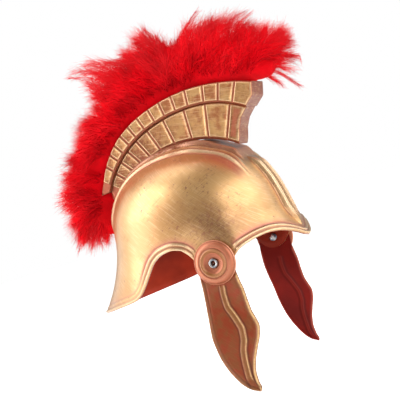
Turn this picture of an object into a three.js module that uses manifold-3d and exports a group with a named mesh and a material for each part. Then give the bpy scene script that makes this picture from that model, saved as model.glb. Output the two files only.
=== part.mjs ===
// Roman legionary helmet: a bowl with ear arches and a neck guard, an arched crest holder,
// a feather plume, two round bosses on hollow rivets and two hinged cheek pieces.
// Millimetres, +Z up, the face looks towards -Y, the wearer's left is +X.
// Everything is drawn about the hinge axis of the cheek pieces and moved at the end,
// so that the frame starts inside the crown, where the head sits.
import * as THREE from "three";
import { mergeVertices } from "three/addons/utils/BufferGeometryUtils.js";
import Module from "manifold-3d";

const wasm = await Module();
wasm.setup();
const { Manifold, Mesh: SolidMesh } = wasm;

// Bowl
const BOWL_HALF_WIDTH = 95.5;
const FRONT_REACH = 105;
const REAR_REACH = 100;
const CROWN_HEIGHT = 132;
const BELT_HEIGHT = 40;
const CENTRE_Y = 45;
const WALL = 2.4;
const GUARD_FLARE = 49;
const VISOR_FLARE = 8.9;
const FRONT_SLOPE = 0.19;
const SEAT_HALF_WIDTH = 20;
const SEAT_RISE = 3;
const ROLL_RISE = 2.6;
const PLATE_HALF_WIDTH = 11;
const PLATE_RISE = 4.2;
const RIM_BEAD = 1.3;
const RIM_BAND = 7;

// Hinge
const LOBE_INSET = 4.5;
const LOBE_FACE = BOWL_HALF_WIDTH - LOBE_INSET;
const HINGE_GAP = 0.3;
const CHEEK_WALL = 2;
const BORE_RADIUS = 3.8;
const RIVET_RADIUS = 3.5;
const RIVET_BORE = 2.6;
const RIVET_RING = 5;
const RIVET_HEAD = 6.5;
const HEAD_THICK = 1.8;

// Rosette
const ROSETTE_RADIUS = 23.6;
const ROSETTE_HEIGHT = 7.5;

// Cheek piece
const CHEEK_LENGTH = 138;
const CHEEK_WIDTH = 46;
const CHEEK_SPLAY = 14;
const CHEEK_TWIST = 13;
const CHEEK_RELIEF = 1.2;

// Crest holder
const CREST_RADIUS = 163;
const CREST_SEAT_SHARE = 0.656;
const CREST_LEAN_SHARE = 0.153;
const CREST_CENTRE_Y = CENTRE_Y - CREST_LEAN_SHARE * CREST_RADIUS;
const CREST_CENTRE_Z = CROWN_HEIGHT + SEAT_RISE - CREST_SEAT_SHARE * CREST_RADIUS;
const CREST_HALF_WIDTH = 18.4;
const CREST_LOWER_HALF_WIDTH = 14;
const PANEL_RISE = 1;
const CREST_GAP = 0.3;
const GROOVE = 0.9;

// Plume
const PLUME_HALF_WIDTH = 33;
const PLUME_REACH = 82;
const PLUME_GAP = 0.3;

const RINGS = 17;
const DEG = Math.PI / 180;

// Shares of the bowl's rim. turn: degrees from the front, height: share of CROWN_HEIGHT.
const RIM = [
  { turn: 0, height: -0.018 },
  { turn: 5, height: 0.001 },
  { turn: 9, height: 0.028 },
  { turn: 16, height: 0.066 },
  { turn: 23, height: 0.092 },
  { turn: 30, height: 0.102 },
  { turn: 36, height: 0.096 },
  { turn: 42, height: 0.077 },
  { turn: 47, height: 0.050 },
  { turn: 51, height: 0.012 },
  { turn: 56, height: -0.052 },
  { turn: 60, height: -0.088 },
  { turn: 64, height: -0.098 },
  { turn: 68, height: -0.088 },
  { turn: 72, height: -0.052 },
  { turn: 76, height: 0.020 },
  { turn: 79, height: 0.095 },
  { turn: 84, height: 0.165 },
  { turn: 90, height: 0.183 },
  { turn: 97, height: 0.172 },
  { turn: 104, height: 0.130 },
  { turn: 111, height: 0.042 },
  { turn: 117, height: -0.042 },
  { turn: 122, height: -0.100 },
  { turn: 127, height: -0.136 },
  { turn: 132, height: -0.149 },
  { turn: 141, height: -0.164 },
  { turn: 152, height: -0.180 },
  { turn: 161, height: -0.192 },
  { turn: 180, height: -0.215 },
];

// Crest holder in side view. turn: degrees from straight up, towards the front,
// top, middle, foot: shares of CREST_RADIUS.
const ARC = [
  { turn: 31.5, top: 1.054, middle: 0.880, foot: 0.618 },
  { turn: 24, top: 1.035, middle: 0.884, foot: 0.625 },
  { turn: 17, top: 1.020, middle: 0.887, foot: 0.632 },
  { turn: 8, top: 1.008, middle: 0.884, foot: 0.642 },
  { turn: -3, top: 0.998, middle: 0.880, foot: 0.660 },
  { turn: -13, top: 0.995, middle: 0.882, foot: 0.681 },
  { turn: -22, top: 0.998, middle: 0.888, foot: 0.702 },
  { turn: -31, top: 1.001, middle: 0.894, foot: 0.715 },
  { turn: -40, top: 0.990, middle: 0.898, foot: 0.722 },
  { turn: -48, top: 0.970, middle: 0.896, foot: 0.730 },
  { turn: -56, top: 0.944, middle: 0.886, foot: 0.750 },
];

// Grooves between the panels of the crest holder, degrees from straight up.
const UPPER_GROOVES = [
  30.6, 25, 18.3, 11.5, 3.7, -2.8, -8.8, -14.4, -20.5, -26.2, -31.3, -36.1, -40.6, -46, -53,
];
const LOWER_GROOVES = [29, 23.3, 11.2, 0.3, -11.2, -20.8, -28.2, -34.8, -41, -47, -53.5];

// Plume in side view. turn: degrees from straight up, towards the front,
// base: share of CREST_RADIUS where it is free of the crest, reach: share of PLUME_REACH
// out from there, thick: share of PLUME_HALF_WIDTH.
const PLUME = [
  { turn: 41, base: 1.240, reach: 0.080, thick: 0.20 },
  { turn: 39, base: 1.180, reach: 0.300, thick: 0.45 },
  { turn: 36, base: 1.125, reach: 0.540, thick: 0.66 },
  { turn: 33, base: 1.080, reach: 0.660, thick: 0.82 },
  { turn: 29, base: 1.055, reach: 0.700, thick: 0.92 },
  { turn: 25, base: 1.038, reach: 0.740, thick: 1.00 },
  { turn: 20, base: 1.026, reach: 0.880, thick: 0.98 },
  { turn: 14, base: 1.016, reach: 0.870, thick: 1.00 },
  { turn: 8, base: 1.008, reach: 0.830, thick: 0.98 },
  { turn: 3.5, base: 1.004, reach: 0.700, thick: 0.97 },
  { turn: 0.5, base: 1.001, reach: 0.640, thick: 0.93 },
  { turn: -3, base: 0.998, reach: 0.960, thick: 0.95 },
  { turn: -7, base: 0.996, reach: 1.060, thick: 1.00 },
  { turn: -12, base: 0.995, reach: 0.990, thick: 0.98 },
  { turn: -17, base: 0.996, reach: 0.860, thick: 0.97 },
  { turn: -22, base: 0.998, reach: 1.000, thick: 0.96 },
  { turn: -26, base: 1.000, reach: 0.960, thick: 0.96 },
  { turn: -31, base: 1.001, reach: 0.600, thick: 0.98 },
  { turn: -37, base: 0.995, reach: 0.640, thick: 1.00 },
  { turn: -43, base: 0.985, reach: 0.560, thick: 1.00 },
  { turn: -50, base: 0.964, reach: 0.620, thick: 0.99 },
  { turn: -57, base: 0.940, reach: 0.680, thick: 0.97 },
  { turn: -63, base: 0.930, reach: 0.740, thick: 0.93 },
  { turn: -69, base: 0.925, reach: 0.610, thick: 0.88 },
  { turn: -75, base: 0.930, reach: 0.500, thick: 0.78 },
  { turn: -80, base: 0.950, reach: 0.350, thick: 0.60 },
  { turn: -84, base: 0.990, reach: 0.140, thick: 0.34 },
];

// Cheek piece. drop: share of CHEEK_LENGTH below the hinge,
// rear, rib, front: shares of CHEEK_WIDTH, positive to the rear.
const CHEEK = [
  { drop: -0.150, rear: 0.080, rib: 0.000, front: -0.080 },
  { drop: -0.135, rear: 0.220, rib: 0.000, front: -0.220 },
  { drop: -0.095, rear: 0.355, rib: 0.000, front: -0.355 },
  { drop: -0.040, rear: 0.430, rib: 0.000, front: -0.420 },
  { drop: 0.030, rear: 0.465, rib: 0.000, front: -0.425 },
  { drop: 0.100, rear: 0.490, rib: 0.010, front: -0.410 },
  { drop: 0.180, rear: 0.505, rib: 0.010, front: -0.435 },
  { drop: 0.250, rear: 0.515, rib: 0.030, front: -0.465 },
  { drop: 0.330, rear: 0.515, rib: 0.020, front: -0.470 },
  { drop: 0.410, rear: 0.508, rib: -0.070, front: -0.485 },
  { drop: 0.480, rear: 0.508, rib: -0.170, front: -0.540 },
  { drop: 0.535, rear: 0.508, rib: -0.225, front: -0.578 },
  { drop: 0.600, rear: 0.485, rib: -0.220, front: -0.540 },
  { drop: 0.690, rear: 0.435, rib: -0.150, front: -0.420 },
  { drop: 0.790, rear: 0.330, rib: -0.140, front: -0.300 },
  { drop: 0.870, rear: 0.205, rib: -0.150, front: -0.255 },
  { drop: 0.930, rear: 0.080, rib: -0.165, front: -0.265 },
  { drop: 0.975, rear: -0.070, rib: -0.210, front: -0.300 },
  { drop: 1.000, rear: -0.210, rib: -0.260, front: -0.310 },
];

const rigid = (color, roughness, metalness) =>
  new THREE.MeshStandardMaterial({ color, roughness, metalness });

// Monotone curve through the points of a table, as a function of its first column.
function curve(rows, key, value, scale = 1) {
  const xs = rows.map((row) => row[key]);
  const ys = rows.map((row) => row[value] * scale);
  if (xs[0] > xs[xs.length - 1]) {
    xs.reverse();
    ys.reverse();
  }
  const last = xs.length - 1;
  const slope = [];
  for (let i = 0; i < last; i++) {
    slope.push((ys[i + 1] - ys[i]) / (xs[i + 1] - xs[i]));
  }
  const tangent = xs.map((x, i) => {
    if (i === 0) return slope[0];
    if (i === last) return slope[last - 1];
    const a = slope[i - 1];
    const b = slope[i];
    return a * b <= 0 ? 0 : (2 * a * b) / (a + b);
  });
  return (x) => {
    const t = Math.min(Math.max(x, xs[0]), xs[last]);
    let i = 0;
    while (i < last - 1 && t > xs[i + 1]) i++;
    const h = xs[i + 1] - xs[i];
    const u = (t - xs[i]) / h;
    const v = 1 - u;
    return (
      ys[i] * (1 + 2 * u) * v * v +
      tangent[i] * h * u * v * v +
      ys[i + 1] * u * u * (3 - 2 * u) -
      tangent[i + 1] * h * u * u * v
    );
  };
}

const clamp = (x, low, high) => Math.min(Math.max(x, low), high);

function smooth(x, low, high) {
  const t = clamp((x - low) / (high - low), 0, 1);
  return t * t * (3 - 2 * t);
}

// Closed body from a list of points and triangles, as a solid for joining and cutting.
function solidOf(points, faces) {
  const mesh = new SolidMesh({
    numProp: 3,
    vertProperties: Float32Array.from(points.flat()),
    triVerts: Uint32Array.from(faces.flat()),
  });
  mesh.merge();
  const solid = new Manifold(mesh);
  return solid.volume() < 0 ? new Manifold(flipped(points, faces)) : solid;
}

function flipped(points, faces) {
  const mesh = new SolidMesh({
    numProp: 3,
    vertProperties: Float32Array.from(points.flat()),
    triVerts: Uint32Array.from(faces.map(([a, b, c]) => [a, c, b]).flat()),
  });
  mesh.merge();
  return mesh;
}

function meshOf(solid, name, material) {
  const data = solid.getMesh();
  const geometry = new THREE.BufferGeometry();
  const count = data.vertProperties.length / data.numProp;
  const position = new Float32Array(count * 3);
  for (let i = 0; i < count; i++) {
    for (let k = 0; k < 3; k++) {
      position[3 * i + k] = data.vertProperties[data.numProp * i + k];
    }
  }
  geometry.setAttribute("position", new THREE.BufferAttribute(position, 3));
  geometry.setIndex(Array.from(data.triVerts));
  const merged = mergeVertices(geometry, 1e-5);
  merged.translate(0, -CENTRE_Y, WALL - CROWN_HEIGHT);
  merged.computeVertexNormals();
  const mesh = new THREE.Mesh(merged, material);
  mesh.name = name;
  return mesh;
}

// Outline in side view, pushed out evenly to both sides of the middle plane.
function sidePrism(outline, low, high) {
  const shape = new THREE.Shape(outline.map(([y, z]) => new THREE.Vector2(y, z)));
  const depth = high - low;
  const geometry = new THREE.ExtrudeGeometry(shape, { depth, bevelEnabled: false, steps: 1 });
  const place = new THREE.Matrix4().set(0, 0, 1, low, 1, 0, 0, 0, 0, 1, 0, 0, 0, 0, 0, 1);
  geometry.applyMatrix4(place);
  geometry.deleteAttribute("normal");
  geometry.deleteAttribute("uv");
  const merged = mergeVertices(geometry, 1e-4);
  const p = merged.getAttribute("position");
  const points = [];
  for (let i = 0; i < p.count; i++) points.push([p.getX(i), p.getY(i), p.getZ(i)]);
  const index = Array.from(merged.getIndex().array);
  const faces = [];
  for (let i = 0; i < index.length; i += 3) faces.push(index.slice(i, i + 3));
  return solidOf(points, faces);
}

// Round body about the hinge axis. profile: [radius, x] pairs, starts and ends on the axis
// or closes on itself.
function turned(profile, segments) {
  const open = profile[0][0] < 1e-9;
  const points = [];
  const rows = [];
  for (const [radius, x] of profile) {
    const row = [];
    for (let i = 0; i < segments; i++) {
      if (radius < 1e-9 && i > 0) {
        row.push(row[0]);
        continue;
      }
      const a = (2 * Math.PI * i) / segments;
      row.push(points.length);
      points.push([x, radius * Math.cos(a), radius * Math.sin(a)]);
    }
    rows.push(row);
  }
  const faces = [];
  const last = open ? rows.length - 1 : rows.length;
  for (let j = 0; j < last; j++) {
    const a = rows[j];
    const b = rows[(j + 1) % rows.length];
    for (let i = 0; i < segments; i++) {
      const k = (i + 1) % segments;
      if (a[i] !== a[k]) faces.push([a[i], a[k], b[k]]);
      if (b[i] !== b[k]) faces.push([a[i], b[k], b[i]]);
    }
  }
  return solidOf(points, faces);
}

// Bowl surface
const rimShare = curve(RIM, "turn", "height", CROWN_HEIGHT);
const rimHeight = (turn) => rimShare(Math.abs(turn));

// Half width and front and rear reach of the bowl at one height.
function section(z) {
  const c = clamp((z - BELT_HEIGHT) / (CROWN_HEIGHT - BELT_HEIGHT), 0, 1);
  const below = Math.max(BELT_HEIGHT - z, 0);
  const shoulder = 9.5 * Math.exp(-(((c - 0.859) / 0.098) ** 2)) * (1 - c ** 8);
  const drop = Math.max(BELT_HEIGHT + 10 - z, 0) / (BELT_HEIGHT + 38);
  const side = BOWL_HALF_WIDTH * (1 - c ** 2.1) ** (1 / 2.1);
  const flare = VISOR_FLARE * (below / (BELT_HEIGHT + 3)) ** 2;
  const cone = FRONT_REACH + FRONT_SLOPE * (BELT_HEIGHT - z);
  const front = cone * (1 - c ** 2.6) ** (1 / 2.6) + flare - shoulder;
  const rear = REAR_REACH * (1 - c ** 2.3) ** (1 / 2.3) + GUARD_FLARE * drop ** 1.55;
  return [side, front, rear].map((reach) => Math.max(reach, 1e-4));
}

function reachAt(turn, z) {
  const [side, front, rear] = section(z);
  const c = Math.cos(turn * DEG);
  const s = Math.abs(Math.sin(turn * DEG));
  const n = c > 0 ? 2.3 : 2.2 - 0.2 * smooth(-z, -BELT_HEIGHT, 20);
  return ((s / side) ** n + (Math.abs(c) / (c > 0 ? front : rear)) ** n) ** (-1 / n);
}

// The lobes that carry the hinges are flattened, so that the cheek pieces turn against them.
function flattened([x, y, z]) {
  const distance = Math.hypot(y, z);
  const flat = smooth(distance, ROSETTE_RADIUS + 1, 2.3 * ROSETTE_RADIUS);
  const limit = LOBE_FACE + 14 * flat;
  const weight = smooth(distance, 2.3 * ROSETTE_RADIUS, ROSETTE_RADIUS - 5);
  const size = Math.abs(x);
  const pulled = Math.min(size, limit);
  const pushed = pulled + (LOBE_FACE - pulled) * weight;
  return [Math.sign(x) * pushed, y, z];
}

function plainPoint(turn, level) {
  const z = heightAt(level);
  const reach = reachAt(turn, Math.min(z, CROWN_HEIGHT - 1e-6));
  return flattened([reach * Math.sin(turn * DEG), CENTRE_Y - reach * Math.cos(turn * DEG), z]);
}

// Level 0 is the crown, level 1 is the belt, and it goes on downwards at the same pace.
function heightAt(level) {
  const dome = CROWN_HEIGHT - BELT_HEIGHT;
  if (level < 1) return BELT_HEIGHT + dome * Math.cos((level * Math.PI) / 2);
  return BELT_HEIGHT - dome * (level - 1) * (Math.PI / 2);
}

function levelAt(z) {
  const dome = CROWN_HEIGHT - BELT_HEIGHT;
  if (z >= BELT_HEIGHT) return Math.acos((z - BELT_HEIGHT) / dome) / (Math.PI / 2);
  return 1 + (BELT_HEIGHT - z) / (dome * (Math.PI / 2));
}

function normalAt(turn, level) {
  const a = plainPoint(turn - 0.6, level);
  const b = plainPoint(turn + 0.6, level);
  const c = plainPoint(turn, level - 0.012);
  const d = plainPoint(turn, level + 0.012);
  const u = new THREE.Vector3(b[0] - a[0], b[1] - a[1], b[2] - a[2]);
  const v = new THREE.Vector3(d[0] - c[0], d[1] - c[1], d[2] - c[2]);
  return v.cross(u).normalize();
}

// Raised parts of the bowl: crest seat, side rolls, forehead plate and rim bead.
function relief([x, y, z], edge) {
  const size = Math.abs(x);
  const long = smooth(y, -38, -24);
  const above = smooth(z, 55, 75);
  const round = (size * size) / (1.5 * BOWL_HALF_WIDTH);
  const seat = (SEAT_RISE + Math.min(round, 3)) * smooth(size, SEAT_HALF_WIDTH + 5, SEAT_HALF_WIDTH);
  const middle = 33 + 3 * smooth(y, -30, 40) - 2 * smooth(y, 80, 130);
  const wide = 8 * smooth(y, -46, -10) + 1;
  const roll = ROLL_RISE * Math.exp(-(((size - middle) / wide) ** 2)) * smooth(y, -46, -30);
  const front = y < CENTRE_Y - 40 ? 1 : 0;
  const half = PLATE_HALF_WIDTH * smooth(z, 6, 34);
  const plateEdge = half > 0.5 ? smooth(size, half + 1.5, half - 0.5) : 0;
  const plate = PLATE_RISE * plateEdge * front * smooth(z, 4, 22) * (1 - smooth(y, -44, -34));
  const crown = z > 60 ? Math.max(seat * long, roll) * (y > CENTRE_Y ? above : 1) : 0;
  const lobe = smooth(Math.hypot(y, z), ROSETTE_RADIUS, ROSETTE_RADIUS + 6);
  const guard = smooth(y, 100, 85);
  const bead = RIM_BEAD * smooth(edge, RIM_BAND + 2, RIM_BAND - 1) * lobe * (0.4 + 0.6 * guard);
  return Math.max(crown, plate) + bead;
}

function turnsOfBowl() {
  const half = [
    0, 3.5, 7, 11, 15.5, 20, 25, 30, 36, 42, 47, 51, 55.5, 60, 64, 68, 72.5, 76, 79, 84, 90,
    97, 104, 111, 117, 122, 127, 132, 139, 146, 153, 158, 163, 167, 171, 175.5,
  ];
  const back = half.slice(1).map((turn) => -turn).reverse();
  return [...half, 180, ...back];
}

function bowlGrid(turns, offset) {
  const rows = [];
  for (let j = 1; j <= RINGS; j++) {
    rows.push(
      turns.map((turn) => {
        const share = j / RINGS;
        const rim = levelAt(rimHeight(turn));
        const level = rim * (0.62 * share + 0.38 * share ** 1.6);
        const point = plainPoint(turn, level);
        const edge = (rim - level) * (CROWN_HEIGHT - BELT_HEIGHT) * (Math.PI / 2);
        const normal = normalAt(turn, level);
        const out = offset(point, edge);
        return [point[0] + normal.x * out, point[1] + normal.y * out, point[2] + normal.z * out];
      })
    );
  }
  return rows;
}

function shell(outer, inner, top, bottom) {
  const n = outer[0].length;
  const points = [[0, CENTRE_Y, top], ...outer.flat(), [0, CENTRE_Y, bottom], ...inner.flat()];
  const faces = [];
  const rows = outer.length;
  const at = (side, j, i) => (side ? 2 + rows * n : 1) + (j - 1) * n + (i % n);
  const cap = (side) => (side ? 1 + rows * n : 0);
  for (const side of [0, 1]) {
    for (let i = 0; i < n; i++) {
      const fan = [cap(side), at(side, 1, i), at(side, 1, i + 1)];
      faces.push(side ? [fan[0], fan[2], fan[1]] : fan);
      for (let j = 1; j < rows; j++) {
        const a = at(side, j, i);
        const b = at(side, j, i + 1);
        const c = at(side, j + 1, i + 1);
        const d = at(side, j + 1, i);
        faces.push(side ? [a, b, c] : [a, c, b], side ? [a, c, d] : [a, d, c]);
      }
    }
  }
  for (let i = 0; i < n; i++) {
    const a = at(0, rows, i);
    const b = at(0, rows, i + 1);
    const c = at(1, rows, i + 1);
    const d = at(1, rows, i);
    faces.push([a, c, b], [a, d, c]);
  }
  return solidOf(points, faces);
}

const turns = turnsOfBowl();
const seatTop = CROWN_HEIGHT + SEAT_RISE;
const outerGrid = bowlGrid(turns, relief);
const innerGrid = bowlGrid(turns, () => -WALL);
const plainBowl = shell(outerGrid, innerGrid, seatTop, CROWN_HEIGHT - WALL);
const bore = turned([[0, -LOBE_FACE - 20], [BORE_RADIUS, -LOBE_FACE - 20], [BORE_RADIUS, -60], [0, -60]], 20);
const boreLeft = bore.mirror([1, 0, 0]);
const bowl = plainBowl.subtract(bore).subtract(boreLeft);

// The bowl with the clearance added and no hollow, to cut the crest holder and the plume to it.
const grownGrid = bowlGrid(turns, (point, edge) => relief(point, edge) + CREST_GAP + 0.05);
const coreGrid = bowlGrid(turns, () => -8);
const grownBowl = shell(grownGrid, coreGrid, seatTop + CREST_GAP + 0.05, CROWN_HEIGHT - 8);

// Crest holder
const arcTop = curve(ARC, "turn", "top", CREST_RADIUS);
const arcMiddle = curve(ARC, "turn", "middle", CREST_RADIUS);
const arcFoot = curve(ARC, "turn", "foot", CREST_RADIUS);
const FRONT_TURN = ARC[0].turn;
const REAR_TURN = ARC[ARC.length - 1].turn;

const polar = (turn, radius) => [
  CREST_CENTRE_Y - radius * Math.sin(turn * DEG),
  CREST_CENTRE_Z + radius * Math.cos(turn * DEG),
];

const spread = (from, to, count) =>
  Array.from({ length: count + 1 }, (_, i) => from + ((to - from) * i) / count);

const arcTurns = spread(FRONT_TURN - 0.5, REAR_TURN + 3, 30);

function crestBody() {
  const r = CREST_RADIUS;
  const top = arcTurns.map((turn) => polar(turn, arcTop(turn)));
  const under = spread(FRONT_TURN - 3, REAR_TURN, 28).map((turn) => polar(turn, arcMiddle(turn)));
  const nose = polar(FRONT_TURN + 1.6, r * 0.962);
  const notch = polar(FRONT_TURN - 0.2, r * 0.874);
  const upper = [nose, ...top, ...under.reverse(), notch];
  const foot = [
    notch,
    polar(FRONT_TURN - 1.8, r * 0.80),
    polar(FRONT_TURN - 1.8, r * 0.73),
    polar(FRONT_TURN - 0.4, r * 0.66),
    polar(FRONT_TURN + 0.3, r * 0.615),
  ];
  const low = spread(FRONT_TURN - 3, REAR_TURN - 3.5, 22).map((turn) => polar(turn, arcFoot(turn)));
  const high = spread(FRONT_TURN - 3, REAR_TURN, 28).map((turn) => polar(turn, arcMiddle(turn) + 1));
  const end = polar(REAR_TURN - 3.6, r * 0.855);
  const lower = [...foot, ...low, end, ...high.reverse()];
  const wide = CREST_HALF_WIDTH;
  const slim = CREST_LOWER_HALF_WIDTH;
  return [sidePrism(upper, -wide, wide), sidePrism(lower, -slim, slim)];
}

// Raised panels between the radial grooves, on both sides of the holder.
function crestPanels(grooves, inner, outer, half) {
  const panels = [];
  for (let i = 0; i < grooves.length - 1; i++) {
    const a = grooves[i] - GROOVE / 2;
    const b = grooves[i + 1] + GROOVE / 2;
    const outline = [
      polar(a, inner(a)),
      polar(a, outer(a)),
      polar((a + b) / 2, outer((a + b) / 2)),
      polar(b, outer(b)),
      polar(b, inner(b)),
      polar((a + b) / 2, inner((a + b) / 2)),
    ];
    panels.push(sidePrism(outline, -half - PANEL_RISE, half + PANEL_RISE));
  }
  return panels;
}

const upperPanels = crestPanels(
  UPPER_GROOVES,
  (turn) => arcMiddle(turn) + 1.6,
  (turn) => arcTop(turn) - 0.6,
  CREST_HALF_WIDTH
);
const lowerPanels = crestPanels(
  LOWER_GROOVES,
  (turn) => arcFoot(turn) + 2.5,
  (turn) => arcMiddle(turn) - 2.5,
  CREST_LOWER_HALF_WIDTH
);
const crest = Manifold.union([...crestBody(), ...upperPanels, ...lowerPanels]).subtract(grownBowl);

// The largest piece of a cut body; the rest is waste from the cut.
function largest(solid) {
  const pieces = solid.decompose();
  return pieces.reduce((best, piece) => (piece.volume() > best.volume() ? piece : best), pieces[0]);
}

// Plume: rings of points across the crest, with a lumpy outer edge like locks of feathers.
const plumeBase = curve(PLUME, "turn", "base", CREST_RADIUS);
const plumeReach = curve(PLUME, "turn", "reach", PLUME_REACH);
const plumeThick = curve(PLUME, "turn", "thick", PLUME_HALF_WIDTH);

function plumeBody() {
  const rear = PLUME[PLUME.length - 1].turn;
  const front = PLUME[0].turn;
  const lead = spread(front, FRONT_TURN + 1.5, 4);
  const tail = spread(REAR_TURN, rear, 8);
  const stations = [...lead, ...arcTurns, ...tail];
  const around = 16;
  const points = [];
  stations.forEach((turn, k) => {
    const seated = turn <= arcTurns[0] && turn >= arcTurns[arcTurns.length - 1];
    const rest = seated ? arcTop(turn) + PLUME_GAP : plumeBase(turn) + PLUME_GAP;
    const reach = plumeReach(turn);
    const thick = plumeThick(turn);
    const foot = Math.min(CREST_HALF_WIDTH * 0.86, thick * 0.8);
    for (let i = 0; i < around; i++) {
      const a = (2 * Math.PI * i) / around - Math.PI / 2;
      const lump = 1 + 0.08 * Math.sin(2.1 * k + 3 * a) + 0.05 * Math.cos(1.3 * k - 5 * a);
      const up = Math.sin(a);
      const low = up < -0.3;
      const x = low ? foot * Math.cos(a) * 1.05 : thick * Math.cos(a) * lump;
      const rise = clamp(0.5 + 0.5 * up, 0, 1);
      const radius = rest + (low ? 0 : reach * (0.12 + 0.88 * rise) * (1 + 0.6 * (lump - 1)));
      const [y, z] = polar(turn, radius);
      points.push([x, y, z]);
    }
  });
  const faces = [];
  const n = around;
  for (let k = 0; k < stations.length - 1; k++) {
    for (let i = 0; i < n; i++) {
      const a = k * n + i;
      const b = k * n + ((i + 1) % n);
      faces.push([a, b, b + n], [a, b + n, a + n]);
    }
  }
  for (let i = 1; i < n - 1; i++) {
    const end = (stations.length - 1) * n;
    faces.push([0, i + 1, i], [end, end + i, end + i + 1]);
  }
  return solidOf(points, faces);
}

// Space kept free for the crest holder under the plume.
function crestRoom() {
  const r = CREST_RADIUS;
  const gap = PLUME_GAP * 0.9;
  const top = arcTurns.map((turn) => polar(turn, arcTop(turn) + gap));
  const low = spread(REAR_TURN - 4, FRONT_TURN, 8).map((turn) => polar(turn, r * 0.5));
  const start = [polar(FRONT_TURN + 3, r * 0.5), polar(FRONT_TURN + 3, r * 0.965)];
  const end = [polar(REAR_TURN - 0.4, r * 0.902), polar(REAR_TURN - 4, r * 0.86)];
  const wide = CREST_HALF_WIDTH + PANEL_RISE + PLUME_GAP;
  return sidePrism([...start, ...top, ...end, ...low], -wide, wide);
}

const plume = largest(plumeBody().subtract(crestRoom()).subtract(grownBowl));

// Round boss over the hinge: flange, raised ring, groove and hub with a dish.
const FLANGE = LOBE_FACE + CHEEK_WALL + 2 * HINGE_GAP;

function rosetteBody() {
  const r = ROSETTE_RADIUS;
  const h = ROSETTE_HEIGHT;
  const share = [
    [BORE_RADIUS, 0],
    [r * 0.97, 0],
    [r, h * 0.12],
    [r * 0.985, h * 0.3],
    [r * 0.86, h * 0.5],
    [r * 0.76, h * 0.86],
    [r * 0.62, h * 0.94],
    [r * 0.55, h * 0.7],
    [r * 0.50, h * 0.66],
    [r * 0.45, h * 0.95],
    [r * 0.37, h * 1.0],
    [r * 0.26, h * 0.62],
    [BORE_RADIUS, h * 0.52],
  ];
  return turned(share.map(([radius, x]) => [radius, -FLANGE - x]), 24);
}

// Hollow rivet: head inside the bowl, tube, and a rolled ring over the boss.
function rivetBody() {
  const inside = -LOBE_FACE + WALL + HINGE_GAP;
  const top = -FLANGE - ROSETTE_HEIGHT * 0.62 - HINGE_GAP;
  const lip = top - 1.4;
  return turned(
    [
      [0, inside + HEAD_THICK],
      [RIVET_HEAD * 0.7, inside + HEAD_THICK],
      [RIVET_HEAD, inside + HEAD_THICK * 0.4],
      [RIVET_HEAD, inside],
      [RIVET_RADIUS, inside],
      [RIVET_RADIUS, top],
      [RIVET_RING, top],
      [RIVET_RING, lip + 0.5],
      [RIVET_RING * 0.8, lip],
      [RIVET_BORE, lip + 0.4],
      [RIVET_BORE, top + 7],
      [0, top + 7],
    ],
    14
  );
}

// Cheek piece: a wavy plate, with a rounded head about the hinge, a bead on the edges
// and a rib down the middle. It bends outwards below the boss.
function cheekBody() {
  const rear = curve(CHEEK, "drop", "rear", CHEEK_WIDTH);
  const rib = curve(CHEEK, "drop", "rib", CHEEK_WIDTH);
  const front = curve(CHEEK, "drop", "front", CHEEK_WIDTH);
  const drops = [
    -0.15, -0.14, -0.115, -0.07, 0, 0.09, 0.19, 0.25, 0.32, 0.39, 0.45, 0.50, 0.54, 0.60, 0.68,
    0.76, 0.84, 0.91, 0.96, 1,
  ];
  const across = [0, 0.06, 0.13, 0.86, 1];
  const face = (sign) =>
    drops.map((drop) => {
      const low = rear(drop);
      const high = front(drop);
      const mid = rib(drop);
      const row = [];
      for (const side of [0, 1]) {
        const edge = side ? high : low;
        const list = side ? [...across].reverse() : across.slice(0, -1);
        for (const share of list) {
          const y = edge + (mid - edge) * share;
          const flat = smooth(drop, 0.2, 0.26);
          const raised = share < 0.1 || share > 0.95 ? CHEEK_RELIEF : 0;
          const bend = CHEEK_SPLAY * smooth(drop, 0.12, 0.6) * Math.max(drop - 0.1, 0) / 0.9;
          const twist = y * Math.tan(CHEEK_TWIST * DEG) * smooth(drop, 0.16, 0.5);
          const top = LOBE_FACE + HINGE_GAP + bend + twist + (sign > 0 ? CHEEK_WALL : 0);
          row.push([-(top + (sign > 0 ? raised : 0) * flat), y, -drop * CHEEK_LENGTH]);
        }
      }
      return row;
    });
  const outer = face(1);
  const inner = face(-1);
  const n = outer[0].length;
  const points = [...outer.flat(), ...inner.flat()];
  const rows = outer.length;
  const at = (side, j, i) => side * rows * n + j * n + i;
  const faces = [];
  for (const side of [0, 1]) {
    for (let j = 0; j < rows - 1; j++) {
      for (let i = 0; i < n - 1; i++) {
        const a = at(side, j, i);
        const b = at(side, j, i + 1);
        const c = at(side, j + 1, i + 1);
        const d = at(side, j + 1, i);
        faces.push(side ? [a, c, b] : [a, b, c], side ? [a, d, c] : [a, c, d]);
      }
    }
  }
  const wall = (p, q) => {
    faces.push([p[1], p[0], q[0]], [p[1], q[0], q[1]]);
  };
  for (let j = 0; j < rows - 1; j++) {
    wall([at(0, j + 1, 0), at(0, j, 0)], [at(1, j + 1, 0), at(1, j, 0)]);
    wall([at(0, j, n - 1), at(0, j + 1, n - 1)], [at(1, j, n - 1), at(1, j + 1, n - 1)]);
  }
  for (let i = 0; i < n - 1; i++) {
    wall([at(0, 0, i), at(0, 0, i + 1)], [at(1, 0, i), at(1, 0, i + 1)]);
    wall([at(0, rows - 1, i + 1), at(0, rows - 1, i)], [at(1, rows - 1, i + 1), at(1, rows - 1, i)]);
  }
  return solidOf(points, faces).subtract(bore);
}

const rosette = rosetteBody();
const rivet = rivetBody();
const cheek = cheekBody();
const other = (solid) => solid.mirror([1, 0, 0]);

const GOLD = 0xc9a25c;
const COPPER = 0xbf7350;
const RUST = 0x9a5230;
const RED = 0xd0141a;
const STEEL = 0x8e9299;

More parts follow.
